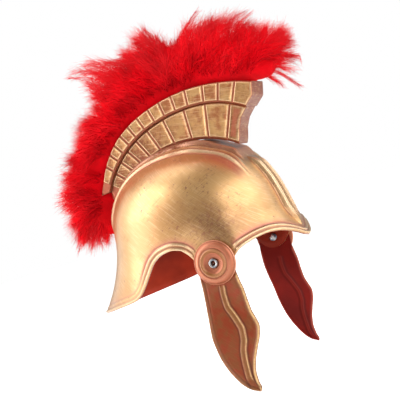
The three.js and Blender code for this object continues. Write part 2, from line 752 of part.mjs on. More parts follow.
const group = new THREE.Group();
group.add(meshOf(bowl, "bowl", rigid(GOLD, 0.38, 0.6)));
group.add(meshOf(largest(crest), "crest_holder", rigid(0xbd8e58, 0.42, 0.55)));
group.add(meshOf(plume, "plume", rigid(RED, 0.95, 0)));
group.add(meshOf(rosette, "rosette_right", rigid(COPPER, 0.45, 0.45)));
group.add(meshOf(other(rosette), "rosette_left", rigid(COPPER, 0.45, 0.45)));
group.add(meshOf(rivet, "rivet_right", rigid(STEEL, 0.3, 0.9)));
group.add(meshOf(other(rivet), "rivet_left", rigid(STEEL, 0.3, 0.9)));
group.add(meshOf(cheek, "cheek_piece_right", rigid(RUST, 0.45, 0.4)));
group.add(meshOf(other(cheek), "cheek_piece_left", rigid(RUST, 0.45, 0.4)));

export default group;
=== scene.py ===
# Roman legionary helmet, dressed for the studio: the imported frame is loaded, each node is
# replaced by a finer piece or given a material, and the camera and lights are set.
# Shapes are worked out in millimetres about the cheek hinge axis, like the part's own source,
# and moved to the frame's metres when each mesh is made.
import math
import bmesh
import bpy
import numpy as np
from mathutils import Matrix, Vector


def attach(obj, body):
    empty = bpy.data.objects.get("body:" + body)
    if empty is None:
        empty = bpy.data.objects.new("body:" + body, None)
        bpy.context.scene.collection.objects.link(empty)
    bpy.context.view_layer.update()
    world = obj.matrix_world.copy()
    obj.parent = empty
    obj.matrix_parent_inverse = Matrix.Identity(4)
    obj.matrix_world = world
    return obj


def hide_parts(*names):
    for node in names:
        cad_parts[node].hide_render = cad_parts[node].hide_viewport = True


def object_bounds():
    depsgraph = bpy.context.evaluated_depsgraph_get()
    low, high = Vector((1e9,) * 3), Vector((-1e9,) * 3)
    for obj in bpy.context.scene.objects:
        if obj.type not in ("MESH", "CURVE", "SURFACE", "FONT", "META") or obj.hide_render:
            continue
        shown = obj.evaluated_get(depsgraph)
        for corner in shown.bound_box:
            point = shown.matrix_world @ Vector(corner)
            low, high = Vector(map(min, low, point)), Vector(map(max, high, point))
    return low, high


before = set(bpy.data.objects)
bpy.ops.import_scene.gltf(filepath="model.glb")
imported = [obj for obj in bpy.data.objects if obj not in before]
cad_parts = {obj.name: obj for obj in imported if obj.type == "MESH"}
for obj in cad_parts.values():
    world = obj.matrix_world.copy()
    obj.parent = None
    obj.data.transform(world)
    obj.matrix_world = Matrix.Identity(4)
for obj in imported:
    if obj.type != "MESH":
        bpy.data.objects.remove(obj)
cad_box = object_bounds()

MM = 0.001
DEG = math.pi / 180

# Bowl
BOWL_HALF_WIDTH = 95.5
FRONT_REACH = 105
REAR_REACH = 100
CROWN_HEIGHT = 132
BELT_HEIGHT = 40
DOME = CROWN_HEIGHT - BELT_HEIGHT
CENTRE_Y = 45
WALL = 2.4
GUARD_FLARE = 49
VISOR_FLARE = 8.9
FRONT_SLOPE = 0.19
SEAT_HALF_WIDTH = 20
SEAT_RISE = 3
ROLL_RISE = 2.6
PLATE_HALF_WIDTH = 11
PLATE_RISE = 4.2
RIM_BEAD = 1.3
RIM_BAND = 7
RIM_REACH = 26.0
CROWN_FROM = 60

# Hinge, rivet and rosette
LOBE_FACE = BOWL_HALF_WIDTH - 4.5
HINGE_GAP = 0.3
CHEEK_WALL = 2
BORE_RADIUS = 3.8
RIVET_RADIUS = 3.5
RIVET_BORE = 2.6
RIVET_RING = 5
RIVET_HEAD = 4.8
HEAD_THICK = 1.8
ROSETTE_RADIUS = 23.6
ROSETTE_HEIGHT = 7.5
FLANGE = LOBE_FACE + CHEEK_WALL + 2 * HINGE_GAP

# Cheek piece
CHEEK_LENGTH = 138
CHEEK_WIDTH = 46
CHEEK_SPLAY = 14
CHEEK_TWIST = 13
CHEEK_RELIEF = 1.2

# Crest holder
CREST_RADIUS = 163
CREST_CENTRE_Y = CENTRE_Y - 0.153 * CREST_RADIUS
CREST_CENTRE_Z = CROWN_HEIGHT + SEAT_RISE - 0.656 * CREST_RADIUS
CREST_HALF_WIDTH = 18.4
CREST_LOWER_HALF_WIDTH = 14
PANEL_RISE = 1.6
CHANNEL = 2.3

# Plume
PLUME_HALF_WIDTH = 33
PLUME_REACH = 82
SEATED_FRONT = 31
SEATED_REAR = -58

# Fineness of the meshes: rows, columns, and sides of the round ones
OUTER_ROWS = 76
INNER_ROWS = 26
RIM_POINTS = 1500
CHEEK_COLUMNS = 71
BOSS_SIDES = 96
RIVET_SIDES = 48
CORE_ROWS = 125
CORE_SIDES = 64

# Height of the bowl's rim by turn from the front, as shares of CROWN_HEIGHT.
RIM = [
    (0, -0.018), (5, 0.001), (9, 0.028), (16, 0.066), (23, 0.092), (30, 0.102), (36, 0.096),
    (42, 0.077), (47, 0.05), (51, 0.012), (56, -0.052), (60, -0.088), (64, -0.098),
    (68, -0.088), (72, -0.052), (76, 0.02), (79, 0.095), (84, 0.165), (90, 0.183),
    (97, 0.172), (104, 0.13), (111, 0.042), (117, -0.042), (122, -0.1), (127, -0.136),
    (132, -0.149), (141, -0.164), (152, -0.18), (161, -0.192), (180, -0.215),
]

# Crest holder in side view: turn from straight up, then top, middle and foot,
# as shares of CREST_RADIUS.
ARC = [
    (31.5, 1.054, 0.88, 0.618), (24, 1.035, 0.884, 0.625), (17, 1.02, 0.887, 0.632),
    (8, 1.008, 0.884, 0.642), (-3, 0.998, 0.88, 0.66), (-13, 0.995, 0.882, 0.681),
    (-22, 0.998, 0.888, 0.702), (-31, 1.001, 0.894, 0.715), (-40, 0.99, 0.898, 0.722),
    (-48, 0.97, 0.896, 0.73), (-56, 0.944, 0.886, 0.75),
]
UPPER_GROOVES = [25, 18.3, 11.5, 3.7, -2.8, -8.8, -14.4, -20.5, -26.2, -31.3, -36.1, -40.6, -46, -53]
LOWER_GROOVES = [23.3, 11.2, 0.3, -11.2, -20.8, -28.2, -34.8, -41, -47, -53.5]

# Ends of the two tiers in side view: share of CREST_RADIUS, turn.
UPPER_FRONT = [(0.8, 31), (0.874, 31.3), (0.962, 33.1), (1.054, 31.5), (1.1, 31.4)]
UPPER_REAR = [(0.8, -56), (0.886, -56), (0.944, -59), (1, -59)]
LOWER_FRONT = [(0.6, 31.8), (0.66, 31.1), (0.73, 29.7), (0.8, 29.7), (0.874, 31.3), (0.9, 31.3)]
LOWER_REAR = [(0.74, -53), (0.855, -59.6), (0.886, -56), (0.9, -56)]

# Plume in side view: turn, base as a share of CREST_RADIUS, reach as a share of PLUME_REACH,
# thickness as a share of PLUME_HALF_WIDTH.
PLUME = [
    (41, 1.24, 0.08, 0.2), (39, 1.18, 0.3, 0.45), (36, 1.125, 0.54, 0.66), (33, 1.08, 0.66, 0.82),
    (29, 1.055, 0.7, 0.92), (25, 1.038, 0.74, 1), (20, 1.026, 0.88, 0.98), (14, 1.016, 0.87, 1),
    (8, 1.008, 0.83, 0.98), (3.5, 1.004, 0.7, 0.97), (0.5, 1.001, 0.64, 0.93), (-3, 0.998, 0.96, 0.95),
    (-7, 0.996, 1.06, 1), (-12, 0.995, 0.99, 0.98), (-17, 0.996, 0.86, 0.97), (-22, 0.998, 1, 0.96),
    (-26, 1, 0.96, 0.96), (-31, 1.001, 0.6, 0.98), (-37, 0.995, 0.64, 1), (-43, 0.985, 0.56, 1),
    (-50, 0.964, 0.62, 0.99), (-57, 0.94, 0.68, 0.97), (-63, 0.93, 0.74, 0.93), (-69, 0.925, 0.61, 0.88),
    (-75, 0.93, 0.5, 0.78), (-80, 0.95, 0.35, 0.6), (-84, 0.99, 0.14, 0.34),
]

# Cheek piece outline: share of CHEEK_LENGTH below the hinge, then rear edge, rib and front
# edge as shares of CHEEK_WIDTH, positive to the rear.
CHEEK = [
    (-0.15, 0.08, 0, -0.08), (-0.135, 0.22, 0, -0.22), (-0.095, 0.355, 0, -0.355),
    (-0.04, 0.43, 0, -0.42), (0.03, 0.465, 0, -0.425), (0.1, 0.49, 0.01, -0.41),
    (0.18, 0.505, 0.01, -0.435), (0.25, 0.515, 0.03, -0.465), (0.33, 0.515, 0.02, -0.47),
    (0.41, 0.508, -0.07, -0.485), (0.48, 0.508, -0.15, -0.54), (0.535, 0.508, -0.195, -0.578),
    (0.6, 0.485, -0.185, -0.54), (0.69, 0.435, -0.11, -0.42), (0.79, 0.33, -0.085, -0.3),
    (0.87, 0.205, -0.085, -0.255), (0.93, 0.08, -0.12, -0.265), (0.975, -0.07, -0.19, -0.3),
    (1, -0.21, -0.26, -0.31),
]


def join(*parts, axis=0):
    return np.concatenate(parts, axis)


def smooth(x, low, high):
    t = np.clip((x - low) / (high - low), 0, 1)
    return t * t * (3 - 2 * t)


def bump(x, middle, width):
    return np.exp(-(((x - middle) / width) ** 2))


def unit(v):
    return v / np.maximum(np.linalg.norm(v, axis=-1, keepdims=True), 1e-9)


def curve(xs, ys):
    """Monotone curve through the points."""
    order = np.argsort(xs)
    xs = np.array(xs, float)[order]
    ys = np.array(ys, float)[order]
    slope = np.diff(ys) / np.diff(xs)
    tangent = join(slope[:1], slope)
    a, b = slope[:-1], slope[1:]
    same = a * b > 0
    tangent[1:-1] = np.where(same, 2 * a * b / np.where(same, a + b, 1), 0)

    def value(x):
        t = np.clip(x, xs[0], xs[-1])
        i = np.clip(np.searchsorted(xs, t, side="right") - 1, 0, len(xs) - 2)
        h = xs[i + 1] - xs[i]
        u = (t - xs[i]) / h
        v = 1 - u
        rise = ys[i] * (1 + 2 * u) * v * v + ys[i + 1] * u * u * (3 - 2 * u)
        return rise + tangent[i] * h * u * v * v - tangent[i + 1] * h * u * u * v

    return value


def column(rows, index, scale):
    return curve([row[0] for row in rows], [row[index] * scale for row in rows])


def in_scene(name, data):
    thing = bpy.data.objects.new(name, data)
    bpy.context.scene.collection.objects.link(thing)
    return thing


def make_piece(name, points, faces, shares=None):
    """Mesh object from points in hinge-axis millimetres, a face array and shares for each point."""
    faces = np.asarray(faces, np.int32)
    mesh = bpy.data.meshes.new(name)
    mesh.vertices.add(len(points))
    place = (points - np.array([0, CENTRE_Y, CROWN_HEIGHT - WALL])) * MM
    mesh.vertices.foreach_set("co", place.astype(np.float32).ravel())
    mesh.loops.add(faces.size)
    mesh.loops.foreach_set("vertex_index", faces.ravel())
    mesh.polygons.add(len(faces))
    mesh.polygons.foreach_set("loop_start", np.arange(0, faces.size, faces.shape[1], dtype=np.int32))
    mesh.update(calc_edges=True)
    mesh.polygons.foreach_set("use_smooth", np.ones(len(faces), bool))
    for key, values in (shares or {}).items():
        layer = mesh.attributes.new(key, "FLOAT", "POINT")
        layer.data.foreach_set("value", np.asarray(values, np.float32).ravel())
    return in_scene(name, mesh)


def weld(piece):
    """Join points that share a place, so that closed ends have no doubled faces."""
    work = bmesh.new()
    work.from_mesh(piece.data)
    bmesh.ops.remove_doubles(work, verts=work.verts, dist=1e-7)
    bmesh.ops.dissolve_degenerate(work, edges=work.edges, dist=1e-7)
    bmesh.ops.recalc_face_normals(work, faces=work.faces)
    work.to_mesh(piece.data)
    work.free()
    return piece


def grid_faces(rows, columns, turn=False):
    """Quads of a grid of points laid out row by row, where each row closes on itself."""
    j, i = np.meshgrid(np.arange(rows - 1), np.arange(columns), indexing="ij")
    a = j * columns + i
    b = j * columns + (i + 1) % columns
    quads = np.stack([a, b, b + columns, a + columns], -1).reshape(-1, 4)
    return quads[:, ::-1] if turn else quads


def turned_piece(name, profile, segments, sign, shares_at=None):
    """Round body about the hinge axis, from pairs of radius and distance out from the middle."""
    angle = np.linspace(0, 2 * np.pi, segments, endpoint=False)
    radius, out = np.array(profile, float).T[..., None]
    x = sign * np.repeat(out, segments, 1)
    points = np.stack([x, radius * np.cos(angle), radius * np.sin(angle)], -1).reshape(-1, 3)
    quads = grid_faces(len(profile), segments, turn=sign > 0)
    shares = shares_at and shares_at(np.repeat(radius, segments))
    return make_piece(name, points, quads, shares)


# Bowl surface
rim_height = column(RIM, 1, CROWN_HEIGHT)


def section(z):
    c = np.clip((z - BELT_HEIGHT) / DOME, 0, 1)
    below = np.maximum(BELT_HEIGHT - z, 0)
    shoulder = 9.5 * bump(c, 0.859, 0.098) * (1 - c ** 8)
    drop = np.maximum(BELT_HEIGHT + 10 - z, 0) / (BELT_HEIGHT + 38)
    side = BOWL_HALF_WIDTH * (1 - c ** 2.1) ** (1 / 2.1)
    flare = VISOR_FLARE * (below / (BELT_HEIGHT + 3)) ** 2
    cone = FRONT_REACH + FRONT_SLOPE * (BELT_HEIGHT - z)
    front = cone * (1 - c ** 2.6) ** (1 / 2.6) + flare - shoulder
    rear = REAR_REACH * (1 - c ** 2.3) ** (1 / 2.3) + GUARD_FLARE * drop ** 1.55
    return [np.maximum(reach, 1e-4) for reach in (side, front, rear)]


def reach_at(turn, z):
    side, front, rear = section(z)
    c = np.cos(turn * DEG)
    s = np.abs(np.sin(turn * DEG))
    n = np.where(c > 0, 2.3, 2.2 - 0.2 * smooth(-z, -BELT_HEIGHT, 20))
    along = np.where(c > 0, front, rear)
    return ((s / side) ** n + (np.abs(c) / along) ** n) ** (-1 / n)


def height_at(level):
    upper = BELT_HEIGHT + DOME * np.cos(np.minimum(level, 1) * np.pi / 2)
    return np.where(level < 1, upper, BELT_HEIGHT - DOME * (level - 1) * np.pi / 2)


def level_at(z):
    upper = np.arccos(np.clip((z - BELT_HEIGHT) / DOME, 0, 1)) / (np.pi / 2)
    return np.where(z >= BELT_HEIGHT, upper, 1 + (BELT_HEIGHT - z) / (DOME * np.pi / 2))


def plain_point(turn, level):
    z = height_at(level)
    reach = reach_at(turn, np.minimum(z, CROWN_HEIGHT - 1e-6))
    x = reach * np.sin(turn * DEG)
    y = CENTRE_Y - reach * np.cos(turn * DEG)
    distance = np.hypot(y, z)
    flat = smooth(distance, ROSETTE_RADIUS + 1, 2.3 * ROSETTE_RADIUS)
    weight = smooth(distance, 2.3 * ROSETTE_RADIUS, ROSETTE_RADIUS - 5)
    pulled = np.minimum(np.abs(x), LOBE_FACE + 14 * flat)
    pushed = pulled + (LOBE_FACE - pulled) * weight
    return np.stack([np.sign(x) * pushed, y, z + 0 * x], -1)


def normal_at(turn, level):
    u = plain_point(turn + 0.6, level) - plain_point(turn - 0.6, level)
    v = plain_point(turn, level + 0.012) - plain_point(turn, level - 0.012)
    return unit(np.cross(v, u))


def rim_distance(points):
    """Distance of each point to the rim line, capped at RIM_REACH."""
    turns = np.linspace(-180, 180, RIM_POINTS, endpoint=False)
    line = plain_point(turns, level_at(rim_height(np.abs(turns))))
    flat = points.reshape(-1, 3)
    distance = np.full(len(flat), RIM_REACH)
    step = 4000
    for start in range(0, len(flat), step):
        part = flat[start:start + step]
        gap = ((part[:, None, :] - line) ** 2).sum(-1).min(1)
        distance[start:start + step] = np.minimum(np.sqrt(gap), RIM_REACH)
    return distance.reshape(points.shape[:-1])


def crown_relief(points, rim):
    """Height of the raised parts of the bowl; how coppery each place is; its worn edges with painted
    highlight; its painted shade in creases.
    """
    x, y, z = np.moveaxis(points, -1, 0)
    size = np.abs(x)
    above = np.where(y > CENTRE_Y, smooth(z, 55, 75), 1)
    long = smooth(y, -38, -24)
    fade = smooth(y, -46, -30)
    top = (z > CROWN_FROM) * fade * above
    rounding = np.minimum(size * size / (1.5 * BOWL_HALF_WIDTH), 3)
    seat = (SEAT_RISE + rounding) * smooth(size, SEAT_HALF_WIDTH + 5, SEAT_HALF_WIDTH)
    middle = 33 + 3 * smooth(y, -30, 40) - 2 * smooth(y, 80, 130)

    def by_roll(shift, width):
        return bump(size, middle + shift, width)

    roll = ROLL_RISE * by_roll(0, 8 * smooth(y, -46, -10) + 1) * fade
    lines = 1.1 * by_roll(4.6, 1.7) + 0.7 * by_roll(-3.6, 1.8) - 0.9 * by_roll(1.2, 1.6)
    lines = (1.35 * lines - by_roll(8.2, 1.4)) * top
    crown = np.where(z > CROWN_FROM, np.maximum(seat * long, roll), 0) * above + lines

    half = PLATE_HALF_WIDTH * smooth(z, 6, 34)
    front = (y < CENTRE_Y - 40) * smooth(z, 4, 22) * (1 - smooth(y, -44, -34))
    edge = half - size
    solid = front * smooth(half, 3, 8)
    plate = PLATE_RISE * smooth(edge, -1.2, 0.6) * front * (half > 0.5)
    ridges = 1.1 * bump(edge, 1.1, 0.9) + 0.9 * bump(edge, 5.4, 0.9) - 1.2 * bump(edge, 3.2, 1)
    plate += (ridges - 0.6 * bump(edge, -2.2, 1)) * solid

    lobe = smooth(np.hypot(y, z), ROSETTE_RADIUS, ROSETTE_RADIUS + 6)
    guard = smooth(y, 100, 85)
    strength = lobe * (0.45 + 0.55 * guard)
    first = bump(rim, 1.4, 1.2)
    second = bump(rim, 6.2, 1.15) * (0.15 + 0.85 * guard)
    beads = 0.3 * smooth(rim, RIM_BAND + 2, RIM_BAND - 1) + 1.05 * first + 0.95 * second
    beads -= 0.5 * bump(rim, 3.8, 1.1) + 0.35 * bump(rim, 8.8, 1.2)
    height = np.maximum(crown, plate) + RIM_BEAD * strength * beads

    copper = strength * (0.75 * bump(rim, 3.8, 1.1) + bump(rim, 9, 1.5) + 0.35 * bump(rim, 12, 2.5))
    copper += solid * (1.1 * bump(edge, 3.2, 1.3) + 0.5 * bump(edge, -2.5, 1.5))
    copper += top * (0.95 * by_roll(8.6, 2) + 0.9 * by_roll(1.2, 1.7) + 0.6 * by_roll(-7, 2.5))
    copper += 0.9 * top * by_roll(14, 4.5) * smooth(y, 12, -12) * smooth(y, -46, -34)
    copper += 0.5 * long * (z > 70) * smooth(size, SEAT_HALF_WIDTH + 9, SEAT_HALF_WIDTH)
    # Painted shade: the plate's and the rim's grooves, the roll's crease and the crown under the crest's
    # foot.
    shade = smooth(size, middle - 3, middle - 9) * smooth(z, 75, 95)
    crease = solid * (0.9 * bump(edge, 3.2, 0.8) + 0.8 * bump(edge, -2, 1))
    crease += strength * (0.55 * bump(rim, 3.8, 0.8) + 0.4 * bump(rim, 8.6, 0.9))
    crease += top * (0.22 * shade + 0.55 * by_roll(1.2, 1))
    # Beads, plate ridges and roll lines made lighter: edge wear and painted highlight.
    lift = strength * (first + 0.9 * second) + solid * (bump(edge, 1, 1) + bump(edge, 5.4, 1))
    lift += 0.9 * top * (by_roll(-3.6, 1.8) + by_roll(4.8, 1.8))
    return height, copper, lift, crease


def bowl_turns():
    """Closed list of turns, closer together where the rim is steep and on the front plate."""
    close = [(0, 12), (45, 62), (68, 84), (100, 122)]
    turns = [0.0]
    while turns[-1] < 180:
        fine = any(low <= turns[-1] < high for low, high in close)
        turns.append(turns[-1] + (0.45 if fine else 1))
    half = np.array(turns[:-1]) * 180 / turns[-1]
    return join(half, [180], -half[1:][::-1])


def dome_patina_and_painted_dark(points):
    """Patina beside the temple and behind it, with a painted dark reflection; painted shade on the crown
    between the rolls, under the crest.
    """
    x, y, z = np.moveaxis(points, -1, 0)
    size = np.abs(x)
    patina = np.exp(-((y + 6) / 26) ** 2 - ((z - 36) / 26) ** 2)
    patina += 0.2 * np.exp(-((y - 28) / 30) ** 2 - ((z - 58) / 18) ** 2)
    patina = 0.78 * np.clip(patina, 0, 1) * smooth(size, 30, 60)
    return patina + 0.95 * smooth(size, 30, 20) * smooth(z, 88, 100)


def bowl_piece():
    """Outer rows from the crown to the rim, a lip, then inner rows back up to the crown."""
    turns = bowl_turns()
    columns = len(turns)
    band = np.arange(0, 22, 0.8)
    near = level_at(rim_height(np.abs(turns))) - band[:, None] / (DOME * np.pi / 2)
    share = np.linspace(0, 1, OUTER_ROWS)[1:, None]
    level = join(near, near[-1] * (1 - share) + 0.012 * share)
    turn = np.broadcast_to(turns, level.shape)
    plain = plain_point(turn, level)
    height, copper, lift, crease = crown_relief(plain, rim_distance(plain))
    outer = plain + normal_at(turn, level) * height[..., None]
    share = np.linspace(0, 1, INNER_ROWS)[:, None]
    inner_level = near[0] * (1 - share) + 0.02 * share
    inner_turn = np.broadcast_to(turns, inner_level.shape)
    inner = plain_point(inner_turn, inner_level) - WALL * normal_at(inner_turn, inner_level)
    # Painted shade: the inside of the bowl darker around the hinge.
    shade = 0.75 * smooth(np.hypot(inner[..., 1], inner[..., 2]), 34, 20)
    lip = (outer[0] + inner[0]) / 2
    ends = [[0, CENTRE_Y, CROWN_HEIGHT + rise] for rise in (SEAT_RISE, -WALL)]
    points = join(outer[::-1].reshape(-1, 3), lip, inner.reshape(-1, 3), ends)

    def over(outside, lining=0, end=0):
        """Values of the outer rows, the lip, the inner rows and the two ends."""
        outside = np.broadcast_to(outside, level.shape)[::-1].ravel()
        lining = np.broadcast_to(lining, inner_level.shape).ravel()
        return join(outside, np.zeros(columns), lining, [0, end])

    shares = {
        "copper": over(copper), "lift": over(lift), "crease": over(crease, shade),
        "patina": over(dome_patina_and_painted_dark(plain)), "inside": over(0, 1, 1),
    }
    quads = grid_faces(len(level) + 1 + INNER_ROWS, columns)
    here = np.arange(columns)
    after = (here + 1) % columns
    count = len(points) - 2
    fan_top = np.stack([np.full(columns, count), after, here], -1)
    fan_low = np.stack([np.full(columns, count + 1), count - columns + here, count - columns + after], -1)
    triangles = join(quads[:, [0, 1, 2]], quads[:, [0, 2, 3]], fan_top, fan_low)
    return make_piece("bowl_shell", points, triangles, shares)


# Crest holder
def polar(turn, radius):
    """Depth and height of a place given by its turn about the crest's centre and its radius."""
    y = CREST_CENTRE_Y - radius * np.sin(turn * DEG)
    z = CREST_CENTRE_Z + radius * np.cos(turn * DEG)
    return y, z


def spot(x, turn, radius):
    return np.stack([x, *polar(turn, radius)], -1)


def turn_of(points):
    return np.degrees(np.arctan2(CREST_CENTRE_Y - points[:, 1], points[:, 2] - CREST_CENTRE_Z))


arc_top = column(ARC, 1, CREST_RADIUS)
arc_middle = column(ARC, 2, CREST_RADIUS)
arc_foot = column(ARC, 3, CREST_RADIUS)


def bowl_radius(turn, x):
    """Radius from the crest's centre at which the plain bowl is met."""
    low = np.full(np.broadcast(turn, x).shape, 0.45 * CREST_RADIUS)
    high = np.full_like(low, 0.9 * CREST_RADIUS)
    for _ in range(24):
        middle = (low + high) / 2
        y, z = polar(turn, middle)
        around = np.degrees(np.arctan2(x, CENTRE_Y - y))
        reach = reach_at(around, np.minimum(z, CROWN_HEIGHT - 1e-3))
        inside = (np.hypot(x, y - CENTRE_Y) < reach) & (z < CROWN_HEIGHT)
        low = np.where(inside, middle, low)
        high = np.where(inside, high, middle)
    return low


def crest_tier(name, inner, outer, half, grooves, front, rear, foot, cap, seated, shaded, aged_and_painted_dark):
    """One tier of the crest holder, as a closed body with raised panels on both sides.

    front and rear: turn of the end, reach of its slant and its side view. foot and cap: margins
    of the panels. seated: follows the bowl. shaded: share of painted shade at the top margin, and
    of copper and patina on the front panel. aged_and_painted_dark: share of darkening towards the
    rear: patina, and on the lower tier also painted shade under the upper tier.
    """
    marks = [groove + np.linspace(-1.3, 1.3, 17) for groove in grooves]
    marks = join(*marks, np.arange(rear[0], front[0], 1), front[0] - np.array([0.05, 0.25, 0]))
    stations = np.unique(np.round(marks, 3))[::-1]
    stations = stations[(stations <= front[0]) & (stations >= rear[0])][:, None]
    side = join(np.linspace(0, 0.16, 9), np.linspace(0.16, 0.84, 9), np.linspace(0.84, 1, 9))
    side = np.unique(side)
    across = np.linspace(1, -1, 9)[1:-1]
    ones, zeros = np.ones(len(side)), np.zeros(len(across))
    q = join(side, zeros + 1, side[::-1], zeros)
    sign = join(ones, across, -ones, -across)
    is_side = join(ones, zeros, ones, zeros)
    turn = np.repeat(stations, len(q), 1)
    start, stop = inner(turn), outer(turn)
    radius = start + q * (stop - start)
    front_turn, rear_turn = (np.interp(radius / CREST_RADIUS, *zip(*end[2])) for end in (front, rear))
    turn = turn + (front_turn - front[0]) * np.clip(1 - (front[0] - stations) / front[1], 0, 1)
    turn = turn + (rear_turn - rear[0]) * np.clip(1 - (stations - rear[0]) / rear[1], 0, 1)
    to_groove = np.stack([np.abs(turn - groove) * DEG * radius for groove in grooves]).min(0)
    to_edge = np.minimum(radius - start - foot, stop - cap - radius)
    to_edge = np.minimum(to_edge, (front_turn - turn) * DEG * radius - 0.4)
    depth = np.where(turn > grooves[-1], np.minimum(to_groove - CHANNEL / 2, to_edge), -2)
    raised = PANEL_RISE * smooth(depth, -0.5, 0.5) * (0.85 + 0.15 * bump(depth, 0.9, 0.8))
    corner = 0.9 * (smooth(q, 0.03, 0) + smooth(q, 0.97, 1)) * is_side
    x = sign * (half - 0.6 + (raised - corner) * is_side)
    if seated:
        radius = np.maximum(radius, np.minimum(bowl_radius(turn, x) + 1.2, radius + 6) * (q < 0.5))
    points = spot(x, turn, radius)
    caps = [[points[end] * [s, 1, 1] for s in (0, 0.55, 0.955)] for end in (0, -1)]
    rows = join(caps[0], points, caps[1][::-1])
    # Painted shade along the panels' margins: the top margin, under the upper tier's ledge or the plume, and
    # more lightly the foot.
    shade = smooth(to_edge, 0.2, -0.9) * (0.9 * shaded * (q > 0.5) + 0.35 * (q < 0.5))
    first = shaded * smooth(turn, grooves[0] - 0.5, grooves[0] + 0.5) * is_side
    plain = 0.8 * first * (first > 0.6) * smooth(depth, 3.2, 4)
    pad = np.zeros((3, len(q)))
    # Channels coppery; panel edges and the top and foot faces lighter as edge wear and painted highlight;
    # the closed end faces darkened as painted shade.
    shares = {key: join(pad + end, values, pad + end) for key, values, end in (
        ("copper", np.maximum(smooth(depth, 0.2, -0.3) * is_side, plain), 0),
        ("lift", bump(depth, 0.75, 0.6) * is_side + 0.35 * (1 - is_side), 0),
        ("crease", (0.35 * bump(depth, -0.4, 0.35) + shade) * is_side, 0.34),
        ("patina", aged_and_painted_dark * smooth(turn, 6, -34) + 0.5 * first, 1))}
    faces = grid_faces(len(rows), len(q))
    return weld(make_piece(name, rows.reshape(-1, 3), faces, shares))


def crest_pieces():
    upper = crest_tier(
        "crest_upper", arc_middle, arc_top, CREST_HALF_WIDTH, UPPER_GROOVES,
        (31.5, 0.8, UPPER_FRONT), (-56, 2.5, UPPER_REAR),
        foot=1.6, cap=0.9, seated=False, shaded=0.35, aged_and_painted_dark=0.25)
    # The lower tier lies in the upper tier's shade: its higher shares darken it, much of that as painted
    # shade.
    lower = crest_tier(
        "crest_lower", arc_foot, lambda turn: arc_middle(turn) + 1, CREST_LOWER_HALF_WIDTH, LOWER_GROOVES,
        (30.4, 1.2, LOWER_FRONT), (-56, 2.2, LOWER_REAR),
        foot=2.5, cap=2.6, seated=True, shaded=1, aged_and_painted_dark=0.75)
    return upper, lower


# Cheek piece
cheek_rear = column(CHEEK, 1, CHEEK_WIDTH)
cheek_rib = column(CHEEK, 2, CHEEK_WIDTH)
cheek_front = column(CHEEK, 3, CHEEK_WIDTH)


